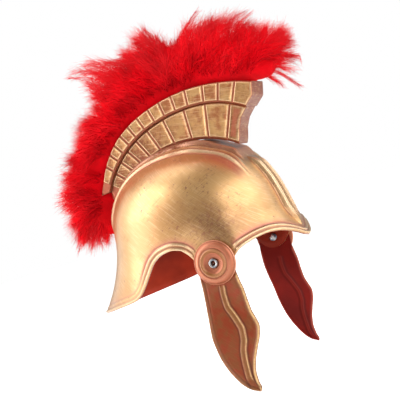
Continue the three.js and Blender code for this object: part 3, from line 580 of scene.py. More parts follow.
def cheek_piece(name, sign):
    drops = join(np.linspace(-0.15, -0.12, 8), np.linspace(-0.11, 0.94, 120), np.linspace(0.945, 1, 14))
    share = np.linspace(0, 1, CHEEK_COLUMNS)
    low, high = cheek_rear(drops)[:, None], cheek_front(drops)[:, None]
    tip = np.clip((drops - 0.965) / 0.035, 0, 1)[:, None]
    narrow = (high - low) / 2 * (1 - np.sqrt(1 - tip ** 2 * 0.97))
    low, high = low + narrow, high - narrow
    y = low + (high - low) * share
    drop = np.repeat(drops[:, None], len(share), 1)
    down = drop * CHEEK_LENGTH
    place = np.stack([y, down], -1).reshape(-1, 1, 2)
    outline = np.linspace(-0.15, 1, 500)

    def away(*lines, first=0):
        """Distance to the nearest of the lines, each left out above its point of that number."""
        line = join(*(np.stack([at(outline), outline * CHEEK_LENGTH], -1)[first:] for at in lines))
        return np.sqrt(((place - line) ** 2).sum(-1).min(1)).reshape(y.shape)

    edge = away(cheek_rear, cheek_front)
    rib = away(cheek_rib, first=90)
    below = smooth(np.hypot(y, down), 24.2, 27) * smooth(drop, 0, 0.08)
    ends = smooth(drop, 0.92, 0.88)
    bead = CHEEK_RELIEF * bump(edge, 1.5, 1.3)
    ridge = 1.1 * bump(rib, 2.3, 0.9) * ends - 0.5 * bump(rib, 4.6, 1.3)
    raised = (np.maximum(bead, ridge) - 0.35 * bump(edge, 4, 1.3)) * below
    embossed = (0.9 * bump(rib, 0, 3) - 0.9 * bump(edge, 1.4, 1.3)) * below
    soft = -0.5 * smooth(edge, 0.9, 0)
    bend = CHEEK_SPLAY * smooth(drop, 0.12, 0.6) * np.maximum(drop - 0.1, 0) / 0.9
    twist = y * math.tan(CHEEK_TWIST * DEG) * smooth(drop, 0.16, 0.5)
    inner = LOBE_FACE + HINGE_GAP + bend + twist
    outside = np.stack([sign * (inner + CHEEK_WALL + raised + soft), y, -down], -1)
    hollow = np.stack([sign * (inner - soft * 0.4 + embossed), y, -down], -1)
    rows, columns = y.shape
    loop = join(outside, hollow[:, ::-1], axis=1)
    first, last = ((loop[end] + loop[end][::-1]) / 2 for end in (0, -1))
    loop = join([first], loop, [last])
    # The front edge and the rib's front line are lighter than the rear ones: painted highlight on the lit
    # side, over real gold lines.
    ahead = smooth((y - cheek_rib(drops)[:, None]) * np.sign(high - low), -0.5, 0.5)
    gold = (0.3 + 0.7 * smooth(share, 0.3, 0.6)) * bump(edge, 0.9, 0.85)
    gold += (0.4 + 0.6 * ahead) * bump(rib, 2.4, 0.6) * ends
    # Painted shade in the grooves beside the rib and the edge bead.
    crease = np.clip(0.55 * bump(rib, 4, 1) + 0.3 * bump(edge, 3.2, 1.1), 0, 1) * below
    ochre = (0.9 * bump(rib, 0, 2.2) * ends + 0.5 * smooth(edge, 7, 1.5)) * below
    # Inside: painted highlight on the lit rim and a rib line; painted shade in the groove beside the rib.
    back_highlight = (0.8 * bump(edge, 0.8, 0.8) + 0.12 * bump(rib, 1.4, 0.7)) * below
    back_crease_shade = np.clip(bump(rib, 3.6, 1.4), 0, 1) * below
    zero = np.zeros_like(gold)

    def ring(outside, hollow):
        values = join(outside, hollow[:, ::-1], axis=1)
        return join(values[:1], values, values[-1:])

    shares = {
        "lift": ring(np.clip(gold, 0, 1) * below, back_highlight), "crease": ring(crease, back_crease_shade),
        "copper": ring(ochre, zero), "inside": ring(zero, zero + 1),
    }
    faces = grid_faces(rows + 2, 2 * columns, turn=sign > 0)
    return weld(make_piece(name, loop.reshape(-1, 3), faces, shares))


def arc_profile(points, steps=5):
    """Rounded profile: a smooth curve through the points, steps to each span."""
    points = np.array(points, float)
    last = len(points) - 1
    out = []
    for i in range(last):
        before, a, b, after = points[[max(i - 1, 0), i, i + 1, min(i + 2, last)]]
        for t in np.arange(steps) / steps:
            out.append(0.5 * (2 * a + (b - before) * t + (2 * before - 5 * a + 4 * b - after) * t * t
                              + (3 * a - before - 3 * b + after) * t * t * t))
    out.append(points[-1])
    return out


def rosette_piece(name, sign):
    r = ROSETTE_RADIUS
    h = ROSETTE_HEIGHT
    profile = [
        (0.985, 0.02), (1, 0.1), (0.995, 0.24), (0.968, 0.34), (0.945, 0.37), (0.93, 0.45), (0.88, 0.62),
        (0.8, 0.75), (0.72, 0.8), (0.675, 0.77), (0.65, 0.8), (0.622, 0.92), (0.58, 1), (0.535, 0.97),
        (0.5, 0.85), (0.455, 0.73), (0.38, 0.64), (0.3, 0.59), (0.24, 0.56), (BORE_RADIUS / r, 0.52),
    ]
    out = [(BORE_RADIUS, FLANGE), (0.97 * r, FLANGE)]
    out += [(radius * r, FLANGE + height * h) for radius, height in arc_profile(profile, 4)]
    out += [(BORE_RADIUS, FLANGE + 0.2 * h), (BORE_RADIUS, FLANGE)]

    def tones(radius):
        q = radius / r
        ring = 0.95 * smooth(q, 0.44, 0.49) * smooth(q, 0.67, 0.63)
        # Rim edge and the convex band lighter as painted highlight; painted shade in the grooves; the dish
        # darker with patina.
        return {
            "lift": 0.8 * bump(q, 0.992, 0.012) + 0.3 * bump(q, 0.6, 0.02) + 0.25 * bump(q, 0.78, 0.06),
            "copper": ring + 0.3 * bump(q, 0.93, 0.02),
            "patina": 0.35 * smooth(q, 0.46, 0.4),
            "crease": 0.5 * bump(q, 0.665, 0.022) + 0.45 * bump(q, 0.948, 0.012) + 0.4 * bump(q, 0.23, 0.03),
        }

    return turned_piece(name, out, BOSS_SIDES, sign, tones)


def rivet_piece(name, sign):
    inside = LOBE_FACE - WALL - HINGE_GAP
    top = FLANGE + ROSETTE_HEIGHT * 0.62 + HINGE_GAP
    lip = top + 1.4
    head = arc_profile([
        (0.01, inside - HEAD_THICK), (RIVET_HEAD * 0.45, inside - HEAD_THICK * 0.98),
        (RIVET_HEAD * 0.8, inside - HEAD_THICK * 0.75), (RIVET_HEAD * 0.97, inside - HEAD_THICK * 0.3),
        (RIVET_HEAD, inside),
    ])
    ring = arc_profile([
        (RIVET_RING, top), (RIVET_RING * 1.02, top + 0.5), (RIVET_RING * 0.92, lip - 0.1),
        (RIVET_RING * 0.76, lip + 0.1), (RIVET_BORE * 1.12, lip - 0.2), (RIVET_BORE, lip - 0.9),
    ])
    profile = head + [(RIVET_RADIUS, inside), (RIVET_RADIUS, top)] + ring
    profile += [(RIVET_BORE, top - 3), (RIVET_BORE * 0.9, top - 6), (0.01, top - 6.5)]
    return weld(turned_piece(name, profile, RIVET_SIDES, sign))


# Plume
plume_base = column(PLUME, 1, CREST_RADIUS)
plume_reach = column(PLUME, 2, PLUME_REACH)
plume_thick = column(PLUME, 3, PLUME_HALF_WIDTH)


def plume_rest(turn):
    seated = (turn <= SEATED_FRONT) & (turn >= SEATED_REAR)
    return np.where(seated, arc_top(turn), plume_base(turn))


def plume_low(turn):
    """Lowest radius of the plume: just inside the crest's top, and close to the bowl behind it."""
    behind = smooth(turn, -56, -60)
    near = np.maximum(bowl_radius(turn, 0 * turn) + 3, 0.86 * CREST_RADIUS)
    return (plume_rest(turn) - 1.2) * (1 - behind) + np.minimum(near, plume_rest(turn)) * behind


def plume_place(turn, lean, out):
    """Place on the plume's outer face: lean is -1 on its right side, 0 on top, 1 on its left."""
    a = np.pi / 2 * (1 - lean)
    rise = 0.5 + 0.5 * np.sin(a)
    x = plume_thick(turn) * np.cos(a) * out
    radius = plume_rest(turn) + plume_reach(turn) * (0.12 + 0.88 * rise) * out
    return spot(x, turn, radius)


def plume_core():
    """Soft dark body under the barbs, resting on the crest and reaching down to the bowl; its dark red is
    painted shade for the plume's inside.
    """
    around = np.linspace(0, 2 * np.pi, CORE_SIDES, endpoint=False)
    turn, a = np.meshgrid(np.linspace(36, -77, CORE_ROWS), around, indexing="ij")
    lump = 0.05 * np.sin(0.37 * turn + 3 * a) + 0.04 * np.sin(0.83 * turn - 4 * a + 1.7)
    out = (0.7 + lump) * (0.25 + 0.75 * smooth(turn, -78, -62)) * (0.6 + 0.4 * smooth(turn, 36, 24))
    rise = 0.5 - 0.5 * np.cos(a)
    thick = plume_thick(turn) * out
    foot = np.minimum(thick, CREST_HALF_WIDTH * 1.02)
    low = smooth(rise, 0.5, 0)
    x = np.sin(a) * (thick * (1 - low) + foot * low)
    radius = plume_low(turn) + (plume_rest(turn) - plume_low(turn) + plume_reach(turn) * out) * rise
    points = spot(x, turn, radius)
    ends = [np.repeat(points[end][None].mean(1, keepdims=True), CORE_SIDES, 1) for end in (0, -1)]
    points = join(ends[0], points, ends[1])
    faces = grid_faces(len(points), CORE_SIDES)
    return weld(make_piece("plume_core", points.reshape(-1, 3), faces))


FEATHERS = 600
FEATHER_PIECES = 4
FEATHER_BOX = (-45, -124, 34), (45, 222, 286)
BARBS = 54
BARB_STEPS = 4
BARB_POINTS = 2 * (BARB_STEPS + 1)
BARB_WIDTH = 0.4
SOFTNESS = 0.8
LOCK_TURN = 7.5
LOCK_LEAN = 0.3
LOCK_ROWS = 9
WISP_FEATHERS = 3
SEED = 11

# Single feathers that stand out of the plume: turn and share of CREST_RADIUS of the tip,
# then fullness.
WISPS = [
    (45.8, 1.139, 0.4), (45.2, 1.325, 0.4), (38.8, 1.103, 0.5), (40.5, 1.2, 0.7), (39.6, 1.3, 0.8),
    (37.5, 1.39, 0.9), (35, 1.42, 0.9), (31, 1.41, 0.9), (27, 1.42, 0.9), (23.7, 1.5, 0.5),
    (21.5, 1.48, 0.8), (18, 1.46, 0.9), (14.7, 1.44, 0.9), (11, 1.42, 0.9), (10.3, 1.52, 0.3),
    (7.5, 1.42, 0.8), (-4.9, 1.52, 0.5), (-8, 1.49, 0.8), (-11.5, 1.46, 0.9), (-15.5, 1.45, 0.8),
    (-20, 1.51, 0.8), (-23, 1.58, 0.9), (-25.5, 1.62, 0.9), (-28.5, 1.64, 0.8), (-30.4, 1.655, 0.5),
    (-26.5, 1.56, 0.8), (-62.4, 1.335, 0.4), (-80.9, 1.185, 0.4), (-79.2, 0.985, 0.5), (-72, 0.935, 0.5),
    (-76, 1.02, 0.5), (-81, 1.12, 0.8), (-80, 1.05, 0.8), (-77.5, 0.96, 0.8), (-73, 0.92, 0.8),
    (-78, 1.16, 0.8), (-75, 0.97, 0.8),
]


def forward_at(turn):
    """Way in which the plume leans: 1 in front of its top, -1 behind it."""
    return smooth(turn, -8, 4) * 2 - 1


def feather_ends(rng):
    """Root, tip, side, tone and fullness of each feather: most tips gather into locks."""
    count = FEATHERS
    lock_turn = join(*(np.arange(36, -82, -LOCK_TURN) + 3.7 * (k % 2) for k in range(LOCK_ROWS)))
    lock_lean = np.repeat(np.linspace(-1.25, 1.25, LOCK_ROWS), len(lock_turn) // LOCK_ROWS)
    lock_turn = lock_turn + rng.normal(0, 1.5, len(lock_turn))
    lock_out = rng.uniform(0.95, 1.06, len(lock_turn))
    tip_turn = rng.uniform(-82, 39, count)
    lean = 1.35 * np.sign(rng.uniform(-1, 1, count)) * rng.uniform(0, 1, count) ** 1.5
    apart = ((tip_turn[:, None] - lock_turn) / LOCK_TURN) ** 2
    apart += ((lean[:, None] - lock_lean) / LOCK_LEAN) ** 2
    lock = apart.argmin(1)
    pull = rng.uniform(0.2, 0.65, count)
    tip_turn = tip_turn + (lock_turn[lock] - tip_turn) * pull
    lean = lean + (lock_lean[lock] - lean) * pull
    tip = plume_place(tip_turn, lean, lock_out[lock] * rng.uniform(0.86, 1, count))
    tone = rng.uniform(0, 1, len(lock_turn))[lock] * 0.6 + rng.uniform(0, 0.4, count)
    wisp_turn, wisp_share, wisp_full = np.repeat(WISPS, WISP_FEATHERS, 0).T
    alone = len(wisp_turn)
    wisp_turn = wisp_turn + rng.normal(0, 0.6, alone)
    wisp_share = wisp_share - rng.uniform(0, 0.03, alone)
    tip = join(tip, spot(rng.normal(0, 5, alone), wisp_turn, wisp_share * CREST_RADIUS))
    tip_turn = join(tip_turn, wisp_turn)
    lean = join(lean, rng.normal(0, 0.15, alone))
    tone = join(tone, rng.uniform(0.5, 1, alone))
    slim = join(np.ones(count), wisp_full)
    sweep = join(rng.uniform(2, 8, count), rng.uniform(8, 14, alone))
    root_turn = tip_turn - sweep * forward_at(tip_turn) + rng.normal(0, 2, len(tip_turn))
    root_turn = np.clip(root_turn, SEATED_REAR, SEATED_FRONT)
    root_turn = np.where(tip_turn < -57, -57 + (tip_turn + 57) * 0.45, root_turn)
    ahead = tip_turn - SEATED_FRONT
    root_turn = np.where(ahead > 0, SEATED_FRONT - ahead * 0.2, root_turn)
    rest = np.where(root_turn < -57, plume_low(root_turn) + 4, plume_rest(root_turn) - 1)
    aside = np.sin(np.clip(lean, -1, 1) * np.pi / 2)
    return spot(aside * (CREST_HALF_WIDTH - 1), root_turn, rest), tip, aside, tone, slim


def feathers():
    """Quills from the crest out to the plume's face, each with soft barbs on both sides."""
    rng = np.random.default_rng(SEED)
    root, tip, aside, tone, slim = feather_ends(rng)
    count = len(root)
    away = unit(root[:, 1:] - [CREST_CENTRE_Y, CREST_CENTRE_Z])
    radial = unit(np.column_stack([0.45 * aside, away]))
    length = np.linalg.norm(tip - root, axis=1)
    bow = root + radial * (0.55 * length)[:, None] + rng.normal(0, 2.5, (count, 3))
    where = 0.16 + 0.84 * np.linspace(0, 1, BARBS) ** 0.85
    s = where[:, None]
    base = (1 - s) ** 2 * root[:, None] + 2 * s * (1 - s) * bow[:, None] + s ** 2 * tip[:, None]
    along = unit(np.gradient(base, axis=1))
    across = unit(np.cross(along, rng.normal(0, 1, (count, 1, 3))))
    over = np.cross(along, across)
    t = np.linspace(0, 1, BARB_STEPS + 1)
    late = (0.5 * t ** 2)[:, None]
    ease = t[:, None] - late
    profile = np.sin(np.pi * np.clip(where * 0.78 + 0.12, 0, 1)) ** 0.6
    forward = forward_at(turn_of(tip))
    drift = np.stack([0 * forward, -0.22 * forward, 0 * forward - 0.14], -1)[:, None]
    spread = (0.62 * slim)[:, None, None]
    parts = []
    for side in (-1, 1):
        swing = rng.normal(0, 0.8, (count, BARBS, 1))
        sideways = across * side * np.cos(swing) + over * np.sin(swing)
        size = (8 + 15 * profile) * rng.uniform(0.6, 1.3, (count, BARBS)) * (0.3 + 0.7 * slim)[:, None]
        start = unit(sideways * spread + along * 0.8)
        curl = rng.normal(0, 0.4, (count, BARBS, 3))
        bend = unit(along + sideways * 0.25 * spread + curl + drift)
        line = size[..., None, None] * (start[:, :, None] * ease + bend[:, :, None] * late)
        parts.append((base[:, :, None] + line).reshape(-1, BARB_STEPS + 1, 3))
    line = join(*parts)
    n = len(line)
    flow = unit(np.gradient(line, axis=1))
    wide = unit(np.cross(flow, rng.normal(0, 1, (n, 1, 3))))
    width = (BARB_WIDTH / 2) * (1 - 0.8 * t)[:, None]
    points = np.stack([line + wide * width, line - wide * width], 2).reshape(-1, 3)
    first = (np.arange(n)[:, None] * BARB_POINTS + 2 * np.arange(BARB_STEPS)).ravel()
    faces = np.stack([first, first + 1, first + 3, first + 2], -1)
    owner = np.tile(np.repeat(np.arange(count), BARBS), 2)
    barb_tone = tone[owner] * 0.75 + rng.uniform(0, 0.25, n)
    # Share along each barb and quill; the material darkens low values, near the quills and deep in the
    # plume, as painted shade.
    reach = np.tile(where, 2 * count)[:, None] * 0.65 + 0.35 * t
    return points, faces, np.repeat(barb_tone, BARB_POINTS), np.repeat(reach, 2, axis=1).ravel()


def soft_normals(piece, points):
    """Shade the barbs as one soft mass: their normals lean towards the plume's outside."""
    turn = turn_of(points)
    spine = spot(0 * turn, turn, plume_rest(turn) + 0.25 * plume_reach(turn))
    outward = unit(points - spine)
    own = np.zeros(len(points) * 3, np.float32)
    piece.data.vertices.foreach_get("normal", own)
    own = own.reshape(-1, 3)
    flip = np.sign((own * outward).sum(-1, keepdims=True))
    own = own * np.where(flip == 0, 1, flip)
    normals = unit(outward * SOFTNESS + own * (1 - SOFTNESS))
    piece.data.normals_split_custom_set_from_vertices([tuple(n) for n in normals])


def feather_pieces():
    points, faces, tone, inner_shade = feathers()
    points = np.clip(points, *FEATHER_BOX)
    strips = len(points) // BARB_POINTS
    pieces = []
    for number in range(FEATHER_PIECES):
        a, b = (strips * step // FEATHER_PIECES for step in (number, number + 1))
        part = slice(a * BARB_POINTS, b * BARB_POINTS)
        face = faces[a * BARB_STEPS:b * BARB_STEPS] - part.start
        shares = {"tone": tone[part], "tip": inner_shade[part]}
        piece = make_piece(f"plume_feathers_{number + 1}", points[part], face, shares)
        soft_normals(piece, points[part])
        pieces.append(piece)
    return pieces


# Materials
class Nodes:
    """A node tree, with a short call for each kind of node used here."""

    def __init__(self, tree):
        self.tree = tree

    def put(self, socket, value):
        if isinstance(value, bpy.types.NodeSocket):
            self.tree.links.new(value, socket)
        else:
            socket.default_value = value

    def add(self, kind, inputs=None, **settings):
        node = self.tree.nodes.new(kind)
        for key, value in settings.items():
            setattr(node, key, value)
        for key, value in (inputs or {}).items():
            self.put(node.inputs[key], value)
        return node

    def mix(self, factor, first, second):
        node = self.add("ShaderNodeMix", data_type="RGBA")
        for index, value in ((0, factor), (6, first), (7, second)):
            self.put(node.inputs[index], (*value, 1) if isinstance(value, tuple) else value)
        return node.outputs[2]

    def ramp(self, value, low, high, start=0.0, end=1.0):
        ends = {"Value": value, "From Min": low, "From Max": high, "To Min": start, "To Max": end}
        return self.add("ShaderNodeMapRange", ends, interpolation_type="SMOOTHSTEP").outputs[0]

    def maths(self, operation, first, second=0.0):
        return self.add("ShaderNodeMath", {0: first, 1: second}, operation=operation).outputs[0]

    def times(self, first, second):
        return self.maths("MULTIPLY", first, second)

    def plus(self, first, second):
        return self.maths("ADD", first, second)

    def noise(self, vector, scale, detail=3.0, rough=0.55):
        inputs = {"Vector": vector, "Scale": scale, "Detail": detail, "Roughness": rough}
        return self.add("ShaderNodeTexNoise", inputs).outputs["Fac"]

    def share(self, name):
        return self.add("ShaderNodeAttribute", attribute_name=name).outputs["Fac"]

    def place(self, kind="Object"):
        return self.add("ShaderNodeTexCoord").outputs[kind]

    def seen(self):
        """1 for what the camera sees directly, 0 for light that reaches the helmet."""
        return self.add("ShaderNodeLightPath").outputs["Is Camera Ray"]


class Paint(Nodes):
    """A new material."""

    def __init__(self, name):
        self.material = bpy.data.materials.new(name)
        self.material.use_nodes = True
        super().__init__(self.material.node_tree)

    def bump(self, height, strength, distance):
        inputs = {"Height": height, "Strength": strength, "Distance": distance}
        return self.add("ShaderNodeBump", inputs).outputs[0]

    def shade(self, inputs):
        """Set the shader's sockets, or link them."""
        for key, value in inputs.items():
            self.put(self.tree.nodes["Principled BSDF"].inputs[key], value)
        return self.material


def srgb(*colour):
    return tuple(((c / 255) / 12.92 if c <= 10 else ((c / 255 + 0.055) / 1.055) ** 2.4) for c in colour)


def dimmed(colour, share):
    return tuple(c * share for c in colour)


def antique(name, colours, metallic=0.78, rough=(0.28, 0.4), wear=1.0, ochre=None, coat=1.0,
            mottle=(20, 0.5), slope=0.8):
    """Moulded plastic painted in brushed antique gold over a copper red ground.

    colours: the gold, its darker mottle, the copper, the worn edges with their painted highlight
    and the hollow side. Shares add painted shade in creases, and patina with painted shade and a
    painted dark reflection.
    """
    gold, deep, copper, bright, inside = (srgb(*colour) for colour in colours)
    paint = Paint(name)
    mix, ramp, times, plus = paint.mix, paint.ramp, paint.times, paint.plus
    place = paint.place()

    def brushed(rotation, scale):
        stretched = paint.add("ShaderNodeMapping", {
            "Vector": place, "Rotation": rotation, "Scale": scale}, vector_type="TEXTURE")
        return paint.noise(stretched.outputs[0], 1.0, 2.0)

    strokes = brushed((slope, 0, 0), (1 / 90, 1 / 50, 1 / 1500))
    counter = brushed((slope - 1.35, 0.1, 0), (1 / 90, 1 / 70, 1 / 1300))
    cloud = paint.noise(place, mottle[0], 4.0)
    grain = paint.noise(place, 420)
    speck = paint.noise(place, 230, 4.0, 0.7)
    field = paint.noise(place, 34, 2.0)
    # Patina, with painted shade on the crest and crown and a painted dark reflection on the dome.
    patina = paint.share("patina")
    colour = mix(ramp(cloud, 0.4, 0.64, 0.0, mottle[1]), gold, deep)
    aged_and_painted_dark = times(patina, ramp(counter, 0.35, 0.6, 0.6))
    colour = mix(aged_and_painted_dark, colour, tuple(c * 0.5 + r * 0.16 for c, r in zip(deep, copper)))
    colour = mix(ramp(strokes, 0.5, 0.7, 0.0, 0.28 * wear), colour, bright)
    patchy = times(ramp(counter, 0.54, 0.64), ramp(field, 0.45, 0.6, 0.0, 0.5 * wear))
    colour = mix(patchy, colour, deep)
    marks = times(ramp(speck, 0.6, 0.66), ramp(field, 0.46, 0.58, 0.05, 0.9 * wear))
    marks = paint.maths("MAXIMUM", marks, times(patina, ramp(speck, 0.53, 0.59, 0.0, 0.8 * wear)))
    colour = mix(marks, colour, dimmed(copper, 0.6))
    low = times(paint.share("copper"), ramp(grain, 0.25, 0.6, 0.65))
    colour = mix(low, colour, srgb(*ochre) if ochre else copper)
    # Edge wear and painted highlight on beads, ridges and panel edges.
    edge_and_highlight = times(paint.share("lift"), ramp(grain, 0.3, 0.6, 0.55, 0.95))
    colour = mix(edge_and_highlight, colour, bright)
    # Painted shade in creases and grooves.
    crease = paint.share("crease")
    colour = mix(crease, colour, dimmed(copper, 0.28))
    hollow = paint.share("inside")
    back = mix(ramp(cloud, 0.4, 0.6), inside, dimmed(inside, 0.7))
    back = mix(times(crease, 0.6), back, dimmed(inside, 0.4))
    back = mix(times(edge_and_highlight, 0.5), back, copper)
    dull = ramp(patina, 0.78, 1.0)
    shine = plus(ramp(cloud, 0.35, 0.65, *rough), times(strokes, 0.08))
    metal = times(paint.maths("SUBTRACT", 1.0, hollow), metallic)
    metal = paint.maths("SUBTRACT", metal, times(low, 0.2))
    metal = paint.maths("SUBTRACT", metal, times(dull, 0.6))
    metal.node.use_clamp = True
    return paint.shade({
        "Base Color": mix(hollow, colour, back), "Metallic": metal,
        "Roughness": plus(shine, times(dull, 0.25)),
        "Normal": paint.bump(plus(times(strokes, 0.4), times(grain, 0.4)), 0.12, 0.0006),
        "Coat Weight": coat, "Coat Roughness": 0.3})


def hollow_side(name, red, light):
    """Bare moulded plastic of the hollow side: brick red, smooth, with faint flow marks, painted shade in
    creases and painted highlight on its lit edges.
    """
    paint = Paint(name)
    red = srgb(*red)
    cloud = paint.noise(paint.place(), 14, 4.0)
    grain = paint.noise(paint.place(), 300)
    colour = paint.mix(paint.ramp(cloud, 0.38, 0.64), red, dimmed(red, 0.6))
    colour = paint.mix(paint.times(paint.share("crease"), 0.7), colour, dimmed(red, 0.35))
    colour = paint.mix(paint.times(paint.share("lift"), 0.8), colour, srgb(*light))
    return paint.shade({
        "Base Color": colour, "Roughness": paint.ramp(cloud, 0.3, 0.7, 0.34, 0.5),
        "Normal": paint.bump(grain, 0.1, 0.0005), "Specular IOR Level": 0.1})


def steel():
    paint = Paint("hollow_rivet_steel")
    cloud = paint.noise(paint.place(), 160, 4.0)
    colour = paint.mix(paint.ramp(cloud, 0.35, 0.65), srgb(214, 212, 208), srgb(96, 100, 112))
    return paint.shade({
        "Base Color": colour, "Roughness": paint.ramp(cloud, 0.3, 0.7, 0.22, 0.42), "Metallic": 0.95})


def feather_material(name, core=False):
    paint = Paint(name)
    cloud = paint.noise(paint.place(), 30)
    colour = paint.mix(paint.ramp(cloud, 0.4, 0.66), srgb(238, 8, 24), srgb(196, 8, 18))
    # The core's darker red is painted shade for the inside of the plume.
    if core:
        colour = paint.mix(0.55, colour, srgb(150, 4, 10))
    else:
        tone = paint.ramp(paint.share("tone"), 0.35, 1.0, 0.0, 0.55)
        colour = paint.mix(tone, colour, srgb(250, 44, 52))
        # Painted shade: darker red near the quills and deep inside the plume.
        tip = paint.ramp(paint.share("tip"), 0.1, 0.6, 0.6, 0.0)
        colour = paint.mix(tip, colour, srgb(160, 4, 12))
    # Emission makes the feathers glow: painted light that brightens the red and fills the shade between
    # barbs.
    return paint.shade({
        "Base Color": colour, "Emission Color": colour, "Emission Strength": 0.42, "Roughness": 0.9,
        "Specular IOR Level": 0.05, "Sheen Weight": 0.12, "Sheen Roughness": 0.5,
        "Sheen Tint": (1.0, 0.3, 0.3, 1)})


def give(piece, material, inner=None):
    """One material for the piece, and another for its hollow side where there is one."""
    mesh = piece.data
    mesh.materials.append(material)
    if inner is None:
        return
    mesh.materials.append(inner)
    hollow = np.zeros(len(mesh.vertices), np.float32)
    mesh.attributes["inside"].data.foreach_get("value", hollow)
    totals = np.zeros(len(mesh.polygons), np.int32)
    mesh.polygons.foreach_get("loop_total", totals)
    corners = np.zeros(len(mesh.loops), np.int32)
    mesh.loops.foreach_get("vertex_index", corners)
    starts = np.cumsum(totals) - totals
    mean = np.add.reduceat(hollow[corners], starts) / totals
    mesh.polygons.foreach_set("material_index", (mean > 0.6).astype(np.int32))


def dress():
    gold = antique("antique_gold", (
        (218, 168, 104), (178, 124, 68), (196, 112, 84), (250, 218, 176), (146, 48, 24)))
    crest_gold = antique("antique_gold_crest", (
        (216, 164, 104), (156, 84, 46), (186, 100, 72), (250, 214, 166), (146, 48, 24)),
        wear=1.6, coat=0.3, mottle=(70, 0.9), slope=0.2)
    rust = antique("rust_and_gold", (
        (148, 58, 26), (126, 76, 32), (130, 48, 28), (232, 190, 130), (112, 14, 8)),
        metallic=0.3, wear=0.12, ochre=(146, 96, 46), coat=0.05, mottle=(110, 0.6))
    copper = antique("copper_boss", (
        (190, 106, 72), (156, 88, 54), (150, 70, 44), (232, 170, 134), (150, 62, 40)),
        metallic=0.5, wear=0.35, ochre=(160, 104, 52), coat=0.3)
    metal = steel()
    bowl_inside = hollow_side("bowl_inside", (168, 50, 24), (214, 130, 104))
    cheek_inside = hollow_side("cheek_inside", (132, 20, 8), (206, 106, 86))
    shell = bowl_piece()
    give(shell, gold, bowl_inside)
    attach(shell, "helmet")
    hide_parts("bowl")
    for tier in crest_pieces():
        give(tier, crest_gold)
        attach(tier, "helmet")
        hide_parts("crest_holder")
    for side, sign in (("right", -1), ("left", 1)):
        body = f"cheek_{side}"
        cheek = cheek_piece(f"cheek_plate_{side}", sign)
        give(cheek, rust, cheek_inside)
        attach(cheek, body)
        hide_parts(f"cheek_piece_{side}")
        boss = rosette_piece(f"boss_{side}", sign)
        give(boss, copper)
        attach(boss, "helmet")
        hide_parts(f"rosette_{side}")
        rivet = rivet_piece(f"hollow_rivet_{side}", sign)
        give(rivet, metal)
        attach(rivet, "helmet")
        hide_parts(f"rivet_{side}")
    # The core's material: darker red as painted shade, with the same glow as the feathers.
    down = feather_material("plume_core_shade", core=True)
    red = feather_material("red_feather")
    for piece in [plume_core(), *feather_pieces()]:
        give(piece, down if piece.name == "plume_core" else red)
        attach(piece, "helmet")
        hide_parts("plume")


# Camera, floor and lights
CAMERA_PLACE = Vector((-0.941113, -0.438858, -0.07824))
CAMERA_RIGHT = Vector((0.403763, -0.866889, -0.292367))
CAMERA_UP = Vector((0.108007, -0.272172, 0.956168))
CAMERA_LENS = 81
CAMERA_SENSOR = 36
CAMERA_CLIP = (0.05, 40)
WORLD_LIGHT = 0.34
FLOOR_SIZE = 15
FLOOR_DROP = 0.0002
FLOOR_GLOW = 0.8
FLOOR_LIGHT = 0.26
LIGHT_AIM = Vector((0, 0, -0.05))


def set_camera():
    data = bpy.data.cameras.new("camera")
    data.lens = CAMERA_LENS
    data.sensor_width = CAMERA_SENSOR
    data.clip_start, data.clip_end = CAMERA_CLIP
    camera = in_scene("camera", data)
    back = CAMERA_RIGHT.cross(CAMERA_UP)
    axes = Matrix((CAMERA_RIGHT, CAMERA_UP, back)).transposed().to_4x4()
    camera.matrix_world = Matrix.Translation(CAMERA_PLACE) @ axes
    bpy.context.scene.camera = camera


def area_light(name, place, size, power):
    """Lamp that shines at LIGHT_AIM and isn't seen itself."""
    data = bpy.data.lights.new(name, "AREA")
    data.shape = "RECTANGLE"
    data.size, data.size_y = size
    data.energy = power
    light = in_scene(name, data)
    place = Vector(place)
    turned = (LIGHT_AIM - place).to_track_quat("-Z", "Y").to_matrix().to_4x4()
    light.matrix_world = Matrix.Translation(place) @ turned
    light.visible_camera = False
    return light


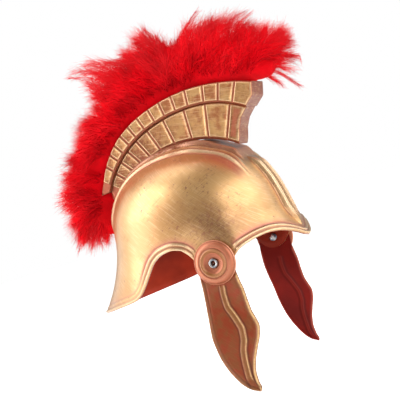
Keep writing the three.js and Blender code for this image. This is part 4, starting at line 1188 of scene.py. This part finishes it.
def set_world():
    """Pale room with a dim strip behind the camera, which the dome mirrors as a dark band."""
    world = bpy.data.worlds.new("studio")
    world.use_nodes = True
    nodes = Nodes(world.node_tree)
    direction = nodes.place("Generated")

    def along(axis):
        inputs = {0: direction, 1: axis}
        return nodes.add("ShaderNodeVectorMath", inputs, operation="DOT_PRODUCT").outputs["Value"]

    level_right = Vector((CAMERA_PLACE.y, -CAMERA_PLACE.x, 0)).normalized()
    level_front = Vector((CAMERA_PLACE.x, CAMERA_PLACE.y, 0)).normalized()
    side = nodes.maths("ABSOLUTE", along(level_right))
    band = nodes.times(nodes.ramp(side, 0.62, 0.16), nodes.ramp(along(level_front), 0.0, 0.3))
    band = nodes.times(band, nodes.ramp(along((0, 0, 1)), 0.32, 0.0))
    dim = nodes.maths("SUBTRACT", WORLD_LIGHT, nodes.times(band, WORLD_LIGHT * 0.9))
    background = nodes.tree.nodes["Background"].inputs
    background["Color"].default_value = (1, 1, 1, 1)
    nodes.put(background["Strength"], nodes.maths("MAXIMUM", dim, nodes.seen()))
    bpy.context.scene.world = world
    bpy.context.scene.view_settings.view_transform = "Standard"


def set_floor():
    low = cad_box[0][2] - FLOOR_DROP
    mesh = bpy.data.meshes.new("floor")
    corners = [(x * FLOOR_SIZE, y * FLOOR_SIZE, low) for x, y in ((-1, -1), (1, -1), (1, 1), (-1, 1))]
    mesh.from_pydata(corners, [], [(0, 1, 2, 3)])
    ground = in_scene("floor", mesh)
    paint = Paint("studio_floor")
    cloud = paint.noise(paint.place(), 3, 2.0)
    give(ground, paint.shade({
        "Base Color": paint.mix(cloud, (0.92,) * 3, (0.95,) * 3), "Roughness": 0.9,
        "Emission Color": (1, 1, 1, 1),
        "Emission Strength": paint.plus(FLOOR_LIGHT, paint.times(paint.seen(), FLOOR_GLOW - FLOOR_LIGHT))}))


def set_lights():
    area_light("key_rear", (-0.85, 1.3, 0.6), (1.2, 2.4), 32)
    area_light("key_front", (-0.35, -1.55, 0.38), (1.9, 1.6), 21)
    area_light("top", (0.2, 0.4, 1.5), (1.2, 1.2), 7)
    area_light("key_guard", (0.3, 1.55, 0.4), (1.2, 1.3), 4)
    area_light("key_plate", (0.8, -1.25, 0.6), (0.8, 0.8), 3)
    area_light("fill", (1.3, -0.2, 0.3), (1.2, 1.2), 9).visible_glossy = False


set_camera()
set_world()
set_floor()
set_lights()
dress()
bpy.context.view_layer.update()
